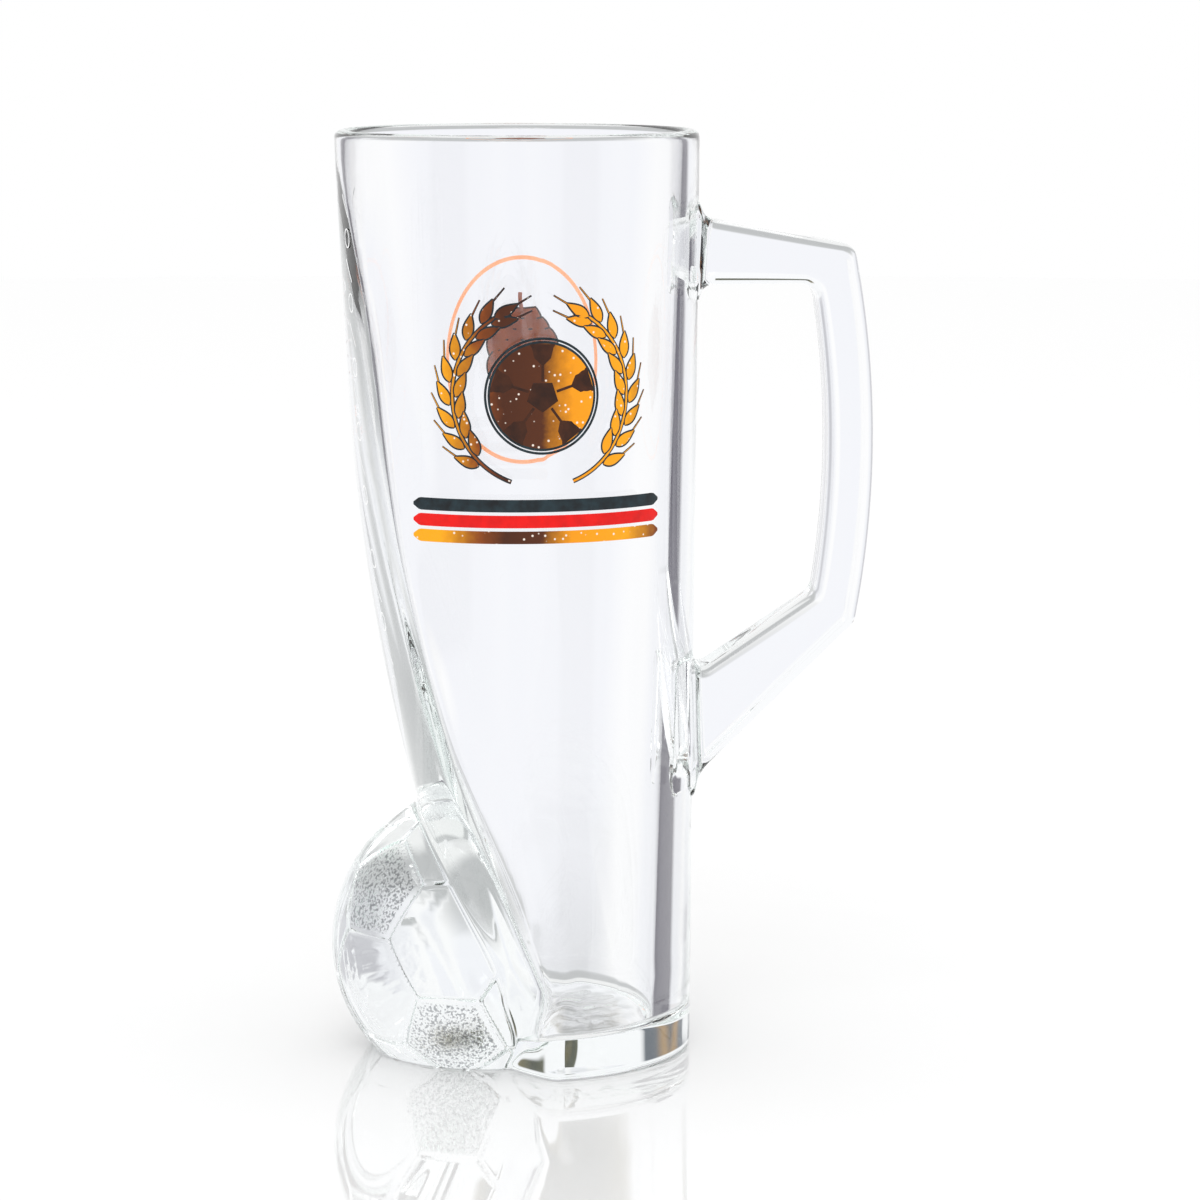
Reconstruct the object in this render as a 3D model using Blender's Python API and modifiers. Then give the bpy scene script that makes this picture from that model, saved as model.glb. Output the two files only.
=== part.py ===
"""Pressed-glass beer mug that stands on a glass football, with a fused handle and fired-on prints.

Metres, +Z up. The mug is symmetric about the XZ plane: the football is at -X and the handle at +X.
The origin is on the table, at the middle of the bounding box.
"""

import math

import bmesh
import bpy
from mathutils import Matrix, Vector

# Glass body: a tapered cylinder whose side over the football is cut back to a slanted wall
HEIGHT = 0.205
RIM_RADIUS = 0.0403
FOOT_RADIUS = 0.0386
FOOT_EDGE = 0.0015
LIP_WALL = 0.0035
LIP_ROUND = 0.0013
FOOT_WALL = 0.0082
FLOOR_THICKNESS = 0.0075
FLOOR_ROUND = 0.0025

# Slanted side over the football: its middle line leans in from the rim to an upright foot, bowed outside
# and nearly flat inside
SIDE_FOOT_OFFSET = 0.0106
SIDE_FOOT_HEIGHT = 0.0190
SIDE_BEND_OFFSET = 0.0336
SIDE_BEND_HEIGHT = 0.0820
SIDE_BEND_RADIUS = 0.430
SIDE_RIM_OFFSET = 0.0403
SIDE_FOOT_BOW = 0.0520
SIDE_RIM_BOW = 0.0510
SIDE_RIM_WALL = 0.0024
SIDE_FOOT_WALL = 0.0146
SIDE_INNER_BOW = 0.300

# Football: a sphere with truncated-icosahedron seams, cut flat at the table
BALL_RADIUS = 0.0351
BALL_CENTRE_HEIGHT = 0.0235
BALL_CENTRE_OFFSET = 0.0068
SEAM_WIDTH = 0.0017
SEAM_DEPTH = 0.0007

# Handle: a flat slab with rounded edges, seen from the side as a bent bar on two weld pads
HANDLE_REACH = 0.0788
HANDLE_THICKNESS = 0.0150
HANDLE_EDGE = 0.0028
GRIP_DEPTH = 0.0101
GRIP_RADIUS = 0.215
GRIP_MIDDLE_HEIGHT = 0.1360
UPPER_ARM_TOP = 0.1795
UPPER_ARM_RISE = 0.0059
UPPER_ARM_UNDERSIDE = 0.1711
LOWER_ARM_OUTER = 0.0957
LOWER_ARM_INNER = 0.1022
LOWER_PAD_FOOT = 0.0637
LOWER_PAD_TOP = 0.0863
PAD_FLARE = 0.0090
PAD_FILLET = 0.0035
OUTER_CORNER = 0.0036
INNER_CORNER = 0.0042
CORNER_SHARE = 0.8

# Prints: thin fired-on skins on the body's round wall, in front (-Y) and behind (+Y)
PRINT_THICKNESS = 0.00025
PRINT_CENTRE_HEIGHT = 0.150
FRONT_PRINT_ANGLE = math.radians(-85)
BACK_PRINT_ANGLE = math.radians(85)
ROUNDEL_RADIUS = 0.0125
EAR_PATH_RADIUS = 0.0195
EAR_HALF_WIDTH = 0.0034
EAR_SWEEP = math.radians(125)
EAR_GRAINS = 9
GRAIN_NOTCH = 0.30
EAR_FOOT_SHARE = 0.06
EAR_TIP_SHARE = 0.96
STRIPE_LENGTH = 0.058
STRIPE_WIDTH = 0.0027
STRIPE_STEP = 0.0034
STRIPE_DROP = 0.0235
BACK_RING_HALF_WIDTH = 0.0195
BACK_RING_HALF_HEIGHT = 0.0235
BACK_RING_LINE = 0.0013
HOP_HALF_WIDTH = 0.0085
HOP_HALF_HEIGHT = 0.0135
HOP_SCALES = 5
SCALE_NOTCH = 0.22
HOP_TAPER = 0.35

# Fits and facets
JOINT_GAP = 0.0003
CUTTER_MARGIN = 0.010
TURN_STEPS = 96
ARC_STEPS = 5
ARC_SHARE = 0.98
EDGE_STEPS = 4
WELD = 0.00001
SHARP_ANGLE = math.radians(35)
BEND_STEPS = 10
PATCH_STEPS = 2
PRINT_SLICE = 0.003
OUTLINE_POINTS = 72

# The axis of the mug stands beside the middle of the bounding box, because of the handle
BODY_REACH = max(RIM_RADIUS, BALL_CENTRE_OFFSET + BALL_RADIUS)
AXIS_X = (BODY_REACH - HANDLE_REACH) / 2


def clear_scene():
    """Remove every object from the scene."""
    for item in list(bpy.data.objects):
        bpy.data.objects.remove(item)


def new_collection(name):
    """Add a collection to the scene."""
    collection = bpy.data.collections.new(name)
    bpy.context.scene.collection.children.link(collection)
    return collection


def new_material(name, colour, roughness, transmission=0.0):
    """Make a Principled material."""
    material = bpy.data.materials.new(name)
    material.use_nodes = True
    shader = material.node_tree.nodes["Principled BSDF"]
    shader.inputs["Base Color"].default_value = (*colour, 1.0)
    shader.inputs["Roughness"].default_value = roughness
    shader.inputs["Metallic"].default_value = 0.0
    shader.inputs["Transmission Weight"].default_value = transmission
    return material


clear_scene()
PARTS = new_collection("beer_mug")
CUTTERS = new_collection("cutters")
MUG_AXIS = bpy.data.objects.new("mug_axis", None)
MUG_AXIS.location.x = AXIS_X
PARTS.objects.link(MUG_AXIS)


def place(item, collection, material=None):
    """Put an object on the mug's axis in a collection, with its material."""
    collection.objects.link(item)
    item.parent = MUG_AXIS
    if material:
        item.data.materials.clear()
        item.data.materials.append(material)
    if collection == CUTTERS:
        item.hide_render = True
        item.display_type = "WIRE"
    return item


def shade_round(item):
    """Shade a piece smooth, with its sharp edges kept."""
    item.data.shade_smooth()
    item.data.set_sharp_from_angle(angle=SHARP_ANGLE)


def wall_radius(height):
    """Outer radius of the body's round wall at a height."""
    return FOOT_RADIUS + (RIM_RADIUS - FOOT_RADIUS) * height / HEIGHT


def fillet_path(corners, closed=False):
    """Points of a path of straight runs, with each (x, z, radius, steps) corner rounded by an arc.

    An arc that would need more than its shorter run is limited to most of that run.
    """
    spots = [Vector(corner[:2]) for corner in corners]
    count = len(spots)
    points = []
    for index, (here, corner) in enumerate(zip(spots, corners)):
        radius, steps = corner[2:]
        if radius == 0 or (not closed and index in (0, count - 1)):
            points.append(here)
            continue
        back = spots[index - 1] - here
        ahead = spots[(index + 1) % count] - here
        half_turn = (math.pi - back.angle(ahead)) / 2
        limit = ARC_SHARE * min(back.length, ahead.length)
        reach = min(radius * math.tan(half_turn), limit)
        fitted = reach / math.tan(half_turn)
        bisector = (back.normalized() + ahead.normalized()).normalized()
        centre = here + bisector * fitted / math.cos(half_turn)
        start = here + back.normalized() * reach - centre
        sweep = start.angle_signed(here + ahead.normalized() * reach - centre)
        for step in range(steps + 1):
            points.append(centre + Matrix.Rotation(-sweep * step / steps, 2) @ start)
    return points


def turned_solid(name, corners):
    """A solid turned about the mug's axis from a profile that runs from its top to its foot."""
    mesh = bpy.data.meshes.new(name)
    points = [(p.x, 0, p.y) for p in fillet_path(corners)]
    mesh.from_pydata(points, [(i, i + 1) for i in range(len(points) - 1)], [])
    item = bpy.data.objects.new(name, mesh)
    screw = item.modifiers.new("turn", "SCREW")
    screw.steps = TURN_STEPS
    screw.render_steps = TURN_STEPS
    screw.use_merge_vertices = True
    screw.merge_threshold = WELD
    screw.use_smooth_shade = True
    return item


def outline_mesh(name, loops):
    """Flat mesh inside loops of points in the XY plane, with a hole inside each inner loop."""
    curve = bpy.data.curves.new(name, "CURVE")
    curve.dimensions = "2D"
    curve.fill_mode = "FRONT"
    for loop in loops:
        spline = curve.splines.new("POLY")
        spline.points.add(len(loop) - 1)
        spline.use_cyclic_u = True
        for spot, (x, y) in zip(spline.points, loop):
            spot.co = (x, y, 0, 1)
    drawn = bpy.data.objects.new(name + "_outline", curve)
    CUTTERS.objects.link(drawn)
    bpy.context.view_layer.update()
    evaluated = drawn.evaluated_get(bpy.context.evaluated_depsgraph_get())
    mesh = bpy.data.meshes.new_from_object(evaluated)
    mesh.name = name
    bpy.data.objects.remove(drawn)
    weld = bmesh.new()
    weld.from_mesh(mesh)
    bmesh.ops.remove_doubles(weld, verts=weld.verts, dist=WELD)
    weld.to_mesh(mesh)
    weld.free()
    return mesh


def upright_solid(name, corners, half_thickness, edge):
    """A slab with rounded edges, whose clockwise outline lies in the XZ plane.

    Copies of the outline stand side by side along Y, each moved in by the round of the edge.
    """
    outline = fillet_path(corners, closed=True)
    count = len(outline)
    rises = []
    for here, ahead in zip(outline, outline[1:] + outline[:1]):
        along = (ahead - here).normalized()
        rises.append(Vector((along.y, -along.x)))
    inward = [(a + b) / (1 + a.dot(b)) for a, b in zip(rises[-1:] + rises[:-1], rises)]
    turns = [math.pi / 2 * step / EDGE_STEPS for step in range(EDGE_STEPS + 1)]
    near = [(edge * (1 - math.sin(turn)) - half_thickness, edge * (1 - math.cos(turn))) for turn in turns]
    far = [(-y, inset) for y, inset in near]
    spots, faces = [], []
    for y, inset in near[::-1] + far:
        loop = [here + into * inset for here, into in zip(outline, inward)]
        spots += [(spot.x, y, spot.y) for spot in loop]
    for start in range(0, len(spots) - count, count):
        ring = range(start, start + count)
        faces += [(a, b, b + count, a + count) for a, b in zip(ring, [*ring[1:], start])]
    faces += [tuple(reversed(range(count))), tuple(range(len(spots) - count, len(spots)))]
    mesh = bpy.data.meshes.new(name)
    mesh.from_pydata(spots, [], faces)
    return bpy.data.objects.new(name, mesh)


def trim(item, tool, name, operation="DIFFERENCE"):
    """Cut a tool from an object, or keep only what lies in the tool, with a Boolean."""
    boolean = item.modifiers.new(name, "BOOLEAN")
    boolean.operation = operation
    boolean.solver = "EXACT"
    boolean.object = tool


def side_solid(name, foot_inset, rim_inset, foot_bow=SIDE_FOOT_BOW, rim_bow=SIDE_RIM_BOW):
    """Everything inside the slanted side: level circles stacked along its middle line.

    Each circle has the bow as its radius and touches the middle line, moved in by the inset.
    """
    slope = (SIDE_RIM_OFFSET - SIDE_BEND_OFFSET) / (HEIGHT - SIDE_BEND_HEIGHT)
    line = [
        (SIDE_FOOT_OFFSET, -CUTTER_MARGIN, 0, 1),
        (SIDE_FOOT_OFFSET, SIDE_FOOT_HEIGHT, 0, 1),
        (SIDE_BEND_OFFSET, SIDE_BEND_HEIGHT, SIDE_BEND_RADIUS, BEND_STEPS),
        (SIDE_RIM_OFFSET + slope * CUTTER_MARGIN, HEIGHT + CUTTER_MARGIN, 0, 1),
    ]
    turns = [2 * math.pi * step / TURN_STEPS for step in range(TURN_STEPS)]
    spots, faces = [], []
    for offset, height in fillet_path(line):
        share = height / HEIGHT
        bow = foot_bow + (rim_bow - foot_bow) * share
        radius = bow - foot_inset - (rim_inset - foot_inset) * share
        start = len(spots)
        spots += [
            (bow - offset + radius * math.cos(turn), radius * math.sin(turn), height) for turn in turns
        ]
        ring = range(start, start + TURN_STEPS)
        if start:
            pairs = zip(ring, [*ring[1:], ring[0]])
            faces += [(a - TURN_STEPS, b - TURN_STEPS, b, a) for a, b in pairs]
        else:
            faces.append(tuple(reversed(ring)))
    faces.append(tuple(ring))
    mesh = bpy.data.meshes.new(name)
    mesh.from_pydata(spots, [], faces)
    return place(bpy.data.objects.new(name, mesh), CUTTERS)


def table_solid():
    """A block under the table's surface."""
    bpy.ops.mesh.primitive_cube_add(size=1)
    table = bpy.context.object
    table.name = "table"
    bpy.context.collection.objects.unlink(table)
    side = 4 * HEIGHT
    table.data.transform(Matrix.Translation((0, 0, -side / 2)) @ Matrix.Scale(side, 4))
    return place(table, CUTTERS)


def make_body(glass):
    """The glass body: a turned blank kept inside the slanted side, less a cavity made the same way."""
    body = turned_solid(
        "glass_body",
        [
            (0, HEIGHT, 0, 1),
            (RIM_RADIUS, HEIGHT, LIP_ROUND, ARC_STEPS),
            (FOOT_RADIUS, 0, FOOT_EDGE, ARC_STEPS),
            (0, 0, 0, 1),
        ],
    )
    mouth = RIM_RADIUS - LIP_WALL
    cavity = turned_solid(
        "cavity",
        [
            (0, HEIGHT + CUTTER_MARGIN, 0, 1),
            (mouth + LIP_ROUND + CUTTER_MARGIN, HEIGHT + CUTTER_MARGIN, 0, 1),
            (mouth, HEIGHT - LIP_ROUND, LIP_ROUND, ARC_STEPS),
            (wall_radius(FLOOR_THICKNESS) - FOOT_WALL, FLOOR_THICKNESS, FLOOR_ROUND, ARC_STEPS),
            (0, FLOOR_THICKNESS, 0, 1),
        ],
    )
    place(cavity, CUTTERS)
    place(body, PARTS, glass)
    inner_side = side_solid("inner_side", SIDE_FOOT_WALL, SIDE_RIM_WALL, SIDE_INNER_BOW, SIDE_INNER_BOW)
    trim(cavity, inner_side, "inner side", "INTERSECT")
    trim(body, side_solid("outer_side", 0, 0), "slanted side", "INTERSECT")
    trim(body, cavity, "cavity")


def make_football(glass):
    """The football: truncated-icosahedron seams on a sphere, cut by the slanted side and the table."""
    ball = bmesh.new()
    bmesh.ops.create_icosphere(ball, subdivisions=1, radius=1.0)
    third = 100 / 3
    bmesh.ops.bevel(
        ball, geom=ball.verts[:], offset=third, offset_type="PERCENT", segments=1, affect="VERTICES"
    )
    seam_half = SEAM_WIDTH / (2 * BALL_RADIUS)
    seam_edges = [tuple(vert.co.normalized() for vert in edge.verts) for edge in ball.edges]
    bmesh.ops.inset_individual(ball, faces=ball.faces[:], thickness=seam_half, use_even_offset=True)
    patches = [face for face in ball.faces if len(face.verts) > 4]
    bmesh.ops.poke(ball, faces=patches)
    bmesh.ops.subdivide_edges(ball, edges=ball.edges[:], cuts=PATCH_STEPS, use_grid_fill=True)
    for vert in ball.verts:
        ray = vert.co.normalized()
        gap = min(seam_distance(ray, a, b) for a, b in seam_edges)
        sunk = SEAM_DEPTH * max(0.0, 1 - (gap / seam_half) ** 2)
        vert.co = ray * (BALL_RADIUS - sunk)
    mesh = bpy.data.meshes.new("football")
    ball.to_mesh(mesh)
    ball.free()
    mesh.transform(Matrix.Translation((-BALL_CENTRE_OFFSET, 0, BALL_CENTRE_HEIGHT)))
    football = place(bpy.data.objects.new("football", mesh), PARTS, glass)
    trim(football, side_solid("football_seat", -JOINT_GAP, -JOINT_GAP), "slanted side")
    trim(football, table_solid(), "table")
    shade_round(football)


def seam_distance(ray, start, end):
    """Distance from a point of the unit sphere to the seam between two corners."""
    run = end - start
    share = min(1.0, max(0.0, (ray - start).dot(run) / run.length_squared))
    return (ray - (start + run * share).normalized()).length


def grip_x(reach, height):
    """Distance from the mug's axis to a face of the grip, an arc about one centre for both faces."""
    radius = GRIP_RADIUS - HANDLE_REACH + reach
    return reach - radius + math.sqrt(radius**2 - (height - GRIP_MIDDLE_HEIGHT) ** 2)


def grip_face(reach, start, end, corner):
    """Corners along a face of the grip from one height to another, rounded at its two ends."""
    path = []
    for step in range(BEND_STEPS + 1):
        height = start + (end - start) * step / BEND_STEPS
        radius = corner if step in (0, BEND_STEPS) else 0
        path.append((grip_x(reach, height), height, radius, ARC_STEPS))
    return path


def make_handle(glass):
    """The handle: a bent bar with weld pads, cut to the body's round wall."""
    pad = RIM_RADIUS + PAD_FILLET / 2
    wall = FOOT_RADIUS - LIP_WALL
    root = FOOT_RADIUS / 2
    arm_root = UPPER_ARM_TOP + UPPER_ARM_RISE
    corners = [
        (root, arm_root + PAD_FLARE, 0, 1),
        (wall, arm_root + PAD_FLARE, 0, 1),
        (pad, arm_root, PAD_FILLET, ARC_STEPS),
        *grip_face(HANDLE_REACH, UPPER_ARM_TOP, LOWER_ARM_OUTER, OUTER_CORNER),
        (pad, LOWER_PAD_FOOT, PAD_FILLET, ARC_STEPS),
        (wall, LOWER_PAD_FOOT - PAD_FLARE, 0, 1),
        (root, LOWER_PAD_FOOT - PAD_FLARE, 0, 1),
        (root, LOWER_PAD_TOP + PAD_FLARE, 0, 1),
        (wall, LOWER_PAD_TOP + PAD_FLARE, 0, 1),
        (pad, LOWER_PAD_TOP, PAD_FILLET, ARC_STEPS),
        *grip_face(HANDLE_REACH - GRIP_DEPTH, LOWER_ARM_INNER, UPPER_ARM_UNDERSIDE, INNER_CORNER),
        (pad, UPPER_ARM_UNDERSIDE, PAD_FILLET, ARC_STEPS),
        (wall, UPPER_ARM_UNDERSIDE - PAD_FLARE, 0, 1),
        (root, UPPER_ARM_UNDERSIDE - PAD_FLARE, 0, 1),
    ]
    edge = min(HANDLE_EDGE, CORNER_SHARE * OUTER_CORNER)
    handle = upright_solid("handle", corners, HANDLE_THICKNESS / 2, edge)
    place(handle, PARTS, glass)
    fit = turned_solid(
        "handle_fit",
        [
            (0, HEIGHT + CUTTER_MARGIN, 0, 1),
            (wall_radius(HEIGHT + CUTTER_MARGIN) + JOINT_GAP, HEIGHT + CUTTER_MARGIN, 0, 1),
            (wall_radius(-CUTTER_MARGIN) + JOINT_GAP, -CUTTER_MARGIN, 0, 1),
            (0, -CUTTER_MARGIN, 0, 1),
        ],
    )
    trim(handle, place(fit, CUTTERS), "body wall")
    shade_round(handle)


def make_print(name, loops, angle, ink):
    """A thin skin bent round the body's wall from flat loops of (run along the wall, rise)."""
    mesh = outline_mesh(name, loops)
    skin = bmesh.new()
    skin.from_mesh(mesh)
    reach = max(abs(vert.co.x) for vert in skin.verts)
    slices = math.ceil(reach / PRINT_SLICE)
    for index in range(-slices, slices + 1):
        geometry = skin.verts[:] + skin.edges[:] + skin.faces[:]
        spot = (index * PRINT_SLICE, 0, 0)
        bmesh.ops.bisect_plane(skin, geom=geometry, plane_co=spot, plane_no=(1, 0, 0), dist=0.000001)
    middle = wall_radius(PRINT_CENTRE_HEIGHT)
    for vert in skin.verts:
        height = PRINT_CENTRE_HEIGHT + vert.co.y
        turn = angle + vert.co.x / middle
        radius = wall_radius(height) + JOINT_GAP
        vert.co = (radius * math.cos(turn), radius * math.sin(turn), height)
    bmesh.ops.triangulate(skin, faces=[face for face in skin.faces if len(face.verts) > 4])
    bmesh.ops.recalc_face_normals(skin, faces=skin.faces[:])
    outward = sum(face.normal.dot(face.calc_center_median().xy.to_3d()) for face in skin.faces)
    if outward < 0:
        bmesh.ops.reverse_faces(skin, faces=skin.faces[:])
    skin.to_mesh(mesh)
    skin.free()
    item = place(bpy.data.objects.new(name, mesh), PARTS, ink)
    wall = item.modifiers.new("ink", "SOLIDIFY")
    wall.thickness = PRINT_THICKNESS
    wall.offset = 1.0
    shade_round(item)


def ellipse(half_width, half_height):
    """Points of an ellipse round the print's centre."""
    turns = [2 * math.pi * step / OUTLINE_POINTS for step in range(OUTLINE_POINTS)]
    return [(half_width * math.cos(turn), half_height * math.sin(turn)) for turn in turns]


def barley_ear(side):
    """Outline of an ear of barley that follows an arc beside the roundel, notched between its grains."""
    left, right = [], []
    steps = OUTLINE_POINTS // 2
    for step in range(steps + 1):
        share = step / steps
        notch = 1 - GRAIN_NOTCH * (1 - abs(math.sin(math.pi * EAR_GRAINS * share)))
        along = EAR_FOOT_SHARE + (EAR_TIP_SHARE - EAR_FOOT_SHARE) * share
        half = EAR_HALF_WIDTH * notch * math.sqrt(math.sin(math.pi * along))
        turn = EAR_SWEEP * share - EAR_SWEEP / 2
        for path, radius in ((left, EAR_PATH_RADIUS - half), (right, EAR_PATH_RADIUS + half)):
            path.append((side * radius * math.cos(turn), radius * math.sin(turn)))
    return left + right[::-1]


def hop_cone():
    """Outline of a hop cone: a drop, wide above and pointed below, scalloped by its scales."""
    points = []
    for step in range(OUTLINE_POINTS):
        turn = 2 * math.pi * step / OUTLINE_POINTS
        depth = SCALE_NOTCH * math.sqrt(abs(math.cos(turn)))
        notch = 1 - depth * (1 - abs(math.sin(HOP_SCALES * turn)))
        taper = 1 + HOP_TAPER * math.sin(turn)
        points.append((HOP_HALF_WIDTH * math.cos(turn) * notch * taper, HOP_HALF_HEIGHT * math.sin(turn)))
    return points


def stripe(row):
    """Outline of one of the straight stripes under the roundel."""
    top = -STRIPE_DROP - row * STRIPE_STEP
    half = STRIPE_LENGTH / 2
    return [(-half, top), (half, top), (half, top - STRIPE_WIDTH), (-half, top - STRIPE_WIDTH)]


def make_prints():
    """The fired-on prints, one skin for each colour and motif."""
    amber = new_material("amber_enamel", (0.80, 0.30, 0.02), 0.35)
    brown = new_material("brown_enamel", (0.09, 0.03, 0.01), 0.35)
    black = new_material("black_enamel", (0.012, 0.011, 0.011), 0.35)
    red = new_material("red_enamel", (0.60, 0.02, 0.02), 0.35)
    gold = new_material("gold_enamel", (0.85, 0.50, 0.05), 0.30)
    front, behind = FRONT_PRINT_ANGLE, BACK_PRINT_ANGLE
    make_print("print_roundel", [ellipse(ROUNDEL_RADIUS, ROUNDEL_RADIUS)], front, amber)
    make_print("print_left_ear", [barley_ear(-1)], front, brown)
    make_print("print_right_ear", [barley_ear(1)], front, brown)
    for row, (name, ink) in enumerate((("black", black), ("red", red), ("gold", gold))):
        make_print(f"print_{name}_stripe", [stripe(row)], front, ink)
    inner_width = BACK_RING_HALF_WIDTH - BACK_RING_LINE
    inner_height = BACK_RING_HALF_HEIGHT - BACK_RING_LINE
    ring = [ellipse(BACK_RING_HALF_WIDTH, BACK_RING_HALF_HEIGHT), ellipse(inner_width, inner_height)]
    make_print("back_print_ring", ring, behind, gold)
    make_print("back_print_hop", [hop_cone()], behind, brown)


def main():
    """Build the mug."""
    glass = new_material("pressed_glass", (0.93, 0.95, 0.95), 0.02, transmission=1.0)
    joint_glass = new_material("handle_glass", (0.90, 0.94, 0.91), 0.03, transmission=1.0)
    cast_glass = new_material("football_glass", (0.92, 0.94, 0.95), 0.08, transmission=1.0)
    make_body(glass)
    make_football(cast_glass)
    make_handle(joint_glass)
    make_prints()


main()
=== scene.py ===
"""Looks of a pressed-glass beer mug: one fused glass piece, and the enamel prints that are fired onto it.

Sizes are in millimetres about the mug's own axis, which stands beside the frame's origin because of the
handle. +Z is up, the handle is at +X, the football at -X and the front print at -Y.
"""

import logging
import math
from dataclasses import dataclass, field
from enum import Enum
from functools import partial
from typing import Any, Sequence

import bpy
import numpy as np
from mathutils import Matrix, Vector


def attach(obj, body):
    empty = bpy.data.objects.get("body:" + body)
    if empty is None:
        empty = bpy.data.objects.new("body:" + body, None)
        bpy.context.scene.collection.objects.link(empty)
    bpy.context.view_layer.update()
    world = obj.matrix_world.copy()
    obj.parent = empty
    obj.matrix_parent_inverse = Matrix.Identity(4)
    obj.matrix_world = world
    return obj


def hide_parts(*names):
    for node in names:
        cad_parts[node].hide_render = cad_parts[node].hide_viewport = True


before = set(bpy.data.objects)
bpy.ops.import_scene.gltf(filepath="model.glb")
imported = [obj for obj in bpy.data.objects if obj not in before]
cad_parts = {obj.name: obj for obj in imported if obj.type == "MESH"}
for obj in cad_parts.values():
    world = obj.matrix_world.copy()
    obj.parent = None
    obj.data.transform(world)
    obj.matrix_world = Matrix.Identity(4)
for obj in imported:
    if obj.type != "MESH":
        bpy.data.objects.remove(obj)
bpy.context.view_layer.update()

LOG = logging.getLogger("mug")
MM = 0.001
AXIS_X = -18.45
MIX_A, MIX_B = 6, 7
SHARP_ANGLE = math.radians(50.0)
Array = np.ndarray


class Side(Enum):
    """The two sides of the round wall that carry a print, by the angle of the print's middle."""

    FRONT = math.radians(-85.0)
    BACK = math.radians(85.0)


def linear(code: str) -> tuple[float, float, float, float]:
    """Linear colour of an sRGB hex value.

    Args:
        code: Six hex digits.

    Returns:
        Red, green, blue and an alpha of 1.
    """
    parts = [int(code[i : i + 2], 16) / 255.0 for i in (0, 2, 4)]
    red, green, blue = [c / 12.92 if c <= 0.04045 else ((c + 0.055) / 1.055) ** 2.4 for c in parts]
    return red, green, blue, 1.0


def add_node(tree: bpy.types.NodeTree, kind: str, inputs: dict[Any, Any] | None = None,
             stops: Sequence[tuple[float, str]] = (), **settings: Any) -> bpy.types.Node:
    """Add a shader node, set it up and link it.

    Args:
        tree: Node tree to add to.
        kind: Blender's name of the node type, without "ShaderNode".
        inputs: Input name or index to a value, to an output, or to a node whose first output in use is meant.
        stops: Places from 0 to 1 and their sRGB colours, for a ramp.
        settings: Properties of the node.

    Returns:
        The new node.
    """
    node = tree.nodes.new("ShaderNode" + kind)
    for name, value in settings.items():
        setattr(node, name, value)
    for place, code in stops:
        marks = node.color_ramp.elements
        mark = marks[0] if place == 0.0 else marks[-1] if place == 1.0 else marks.new(place)
        mark.color = linear(code)
    for key, value in (inputs or {}).items():
        if isinstance(value, bpy.types.Node):
            value = next(socket for socket in value.outputs if socket.enabled)
        if isinstance(value, bpy.types.NodeSocket):
            tree.links.new(value, node.inputs[key])
        else:
            node.inputs[key].default_value = value
    return node


def empty_tree(owner: bpy.types.Material | bpy.types.World) -> bpy.types.NodeTree:
    """The emptied node tree of a material or a world."""
    owner.use_nodes = True
    owner.node_tree.nodes.clear()
    return owner.node_tree


def full_turn(count: int) -> Array:
    """Equal steps of angle once round."""
    return np.linspace(0.0, 2.0 * math.pi, count, endpoint=False)


def aims(turn: Array) -> Array:
    """Unit directions (cos, sin) of angles, along a new last axis."""
    return np.stack([np.cos(turn), np.sin(turn)], axis=-1)


def smooth_min(a: Array, b: Array, width: float) -> Array:
    """The smaller of two fields, with the crossing rounded over a width (quadratic blend)."""
    share = np.maximum(width - np.abs(a - b), 0.0) / width
    return np.minimum(a, b) - share**2 * width / 4.0


def smooth_max(a: Array, b: Array, width: float) -> Array:
    """The larger of two fields, with the crossing rounded over a width."""
    return -smooth_min(-a, -b, width)


def ease(value: Array, low: float, high: float) -> Array:
    """Rise from 0 at low to 1 at high with a cubic ease."""
    share = np.clip((value - low) / (high - low), 0.0, 1.0)
    return share * share * (3.0 - 2.0 * share)


def circle_reach(turn: Array, centre: Array, radius: Array) -> Array:
    """Distance along a ray from the middle to a circle round (centre, 0): c cos t + sqrt(r^2 - c^2 sin^2 t)."""
    return centre * np.cos(turn) + np.sqrt(np.maximum(radius**2 - (centre * np.sin(turn)) ** 2, 0.0))


def new_piece(name: str, spots: Array, faces: Sequence[Sequence[int]], smooth: bool = True) -> bpy.types.Object:
    """Make a mesh object at the frame's origin from points about the mug's axis.

    Args:
        name: Name of the piece.
        spots: Points in millimetres, one row each.
        faces: Vertex numbers of each face.
        smooth: Whether the faces are shaded smooth.

    Returns:
        The object, linked to the scene.
    """
    mesh = bpy.data.meshes.new(name)
    mesh.from_pydata(((spots + np.array([AXIS_X, 0.0, 0.0])) * MM).tolist(), [], faces)
    mesh.validate()
    mesh.polygons.foreach_set("use_smooth", np.full(len(mesh.polygons), smooth))
    piece = bpy.data.objects.new(name, mesh)
    bpy.context.scene.collection.objects.link(piece)
    return piece


def ring_faces(low: Array, high: Array) -> Array:
    """Quads between closed rings of vertex numbers of equal length, which run along the last axis."""
    return np.stack([low, np.roll(low, -1, axis=-1), np.roll(high, -1, axis=-1), high], axis=-1)


def halving_faces(fine: Array, coarse: Array) -> Array:
    """Triangles between a closed ring and one with half as many points, three to each coarse step."""
    first, middle, last = fine[0::2], fine[1::2], np.roll(fine[0::2], -1)
    ahead = np.roll(coarse, -1)
    parts = [(first, middle, coarse), (middle, ahead, coarse), (middle, last, ahead)]
    return np.concatenate([np.stack(part, axis=-1) for part in parts])


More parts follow.
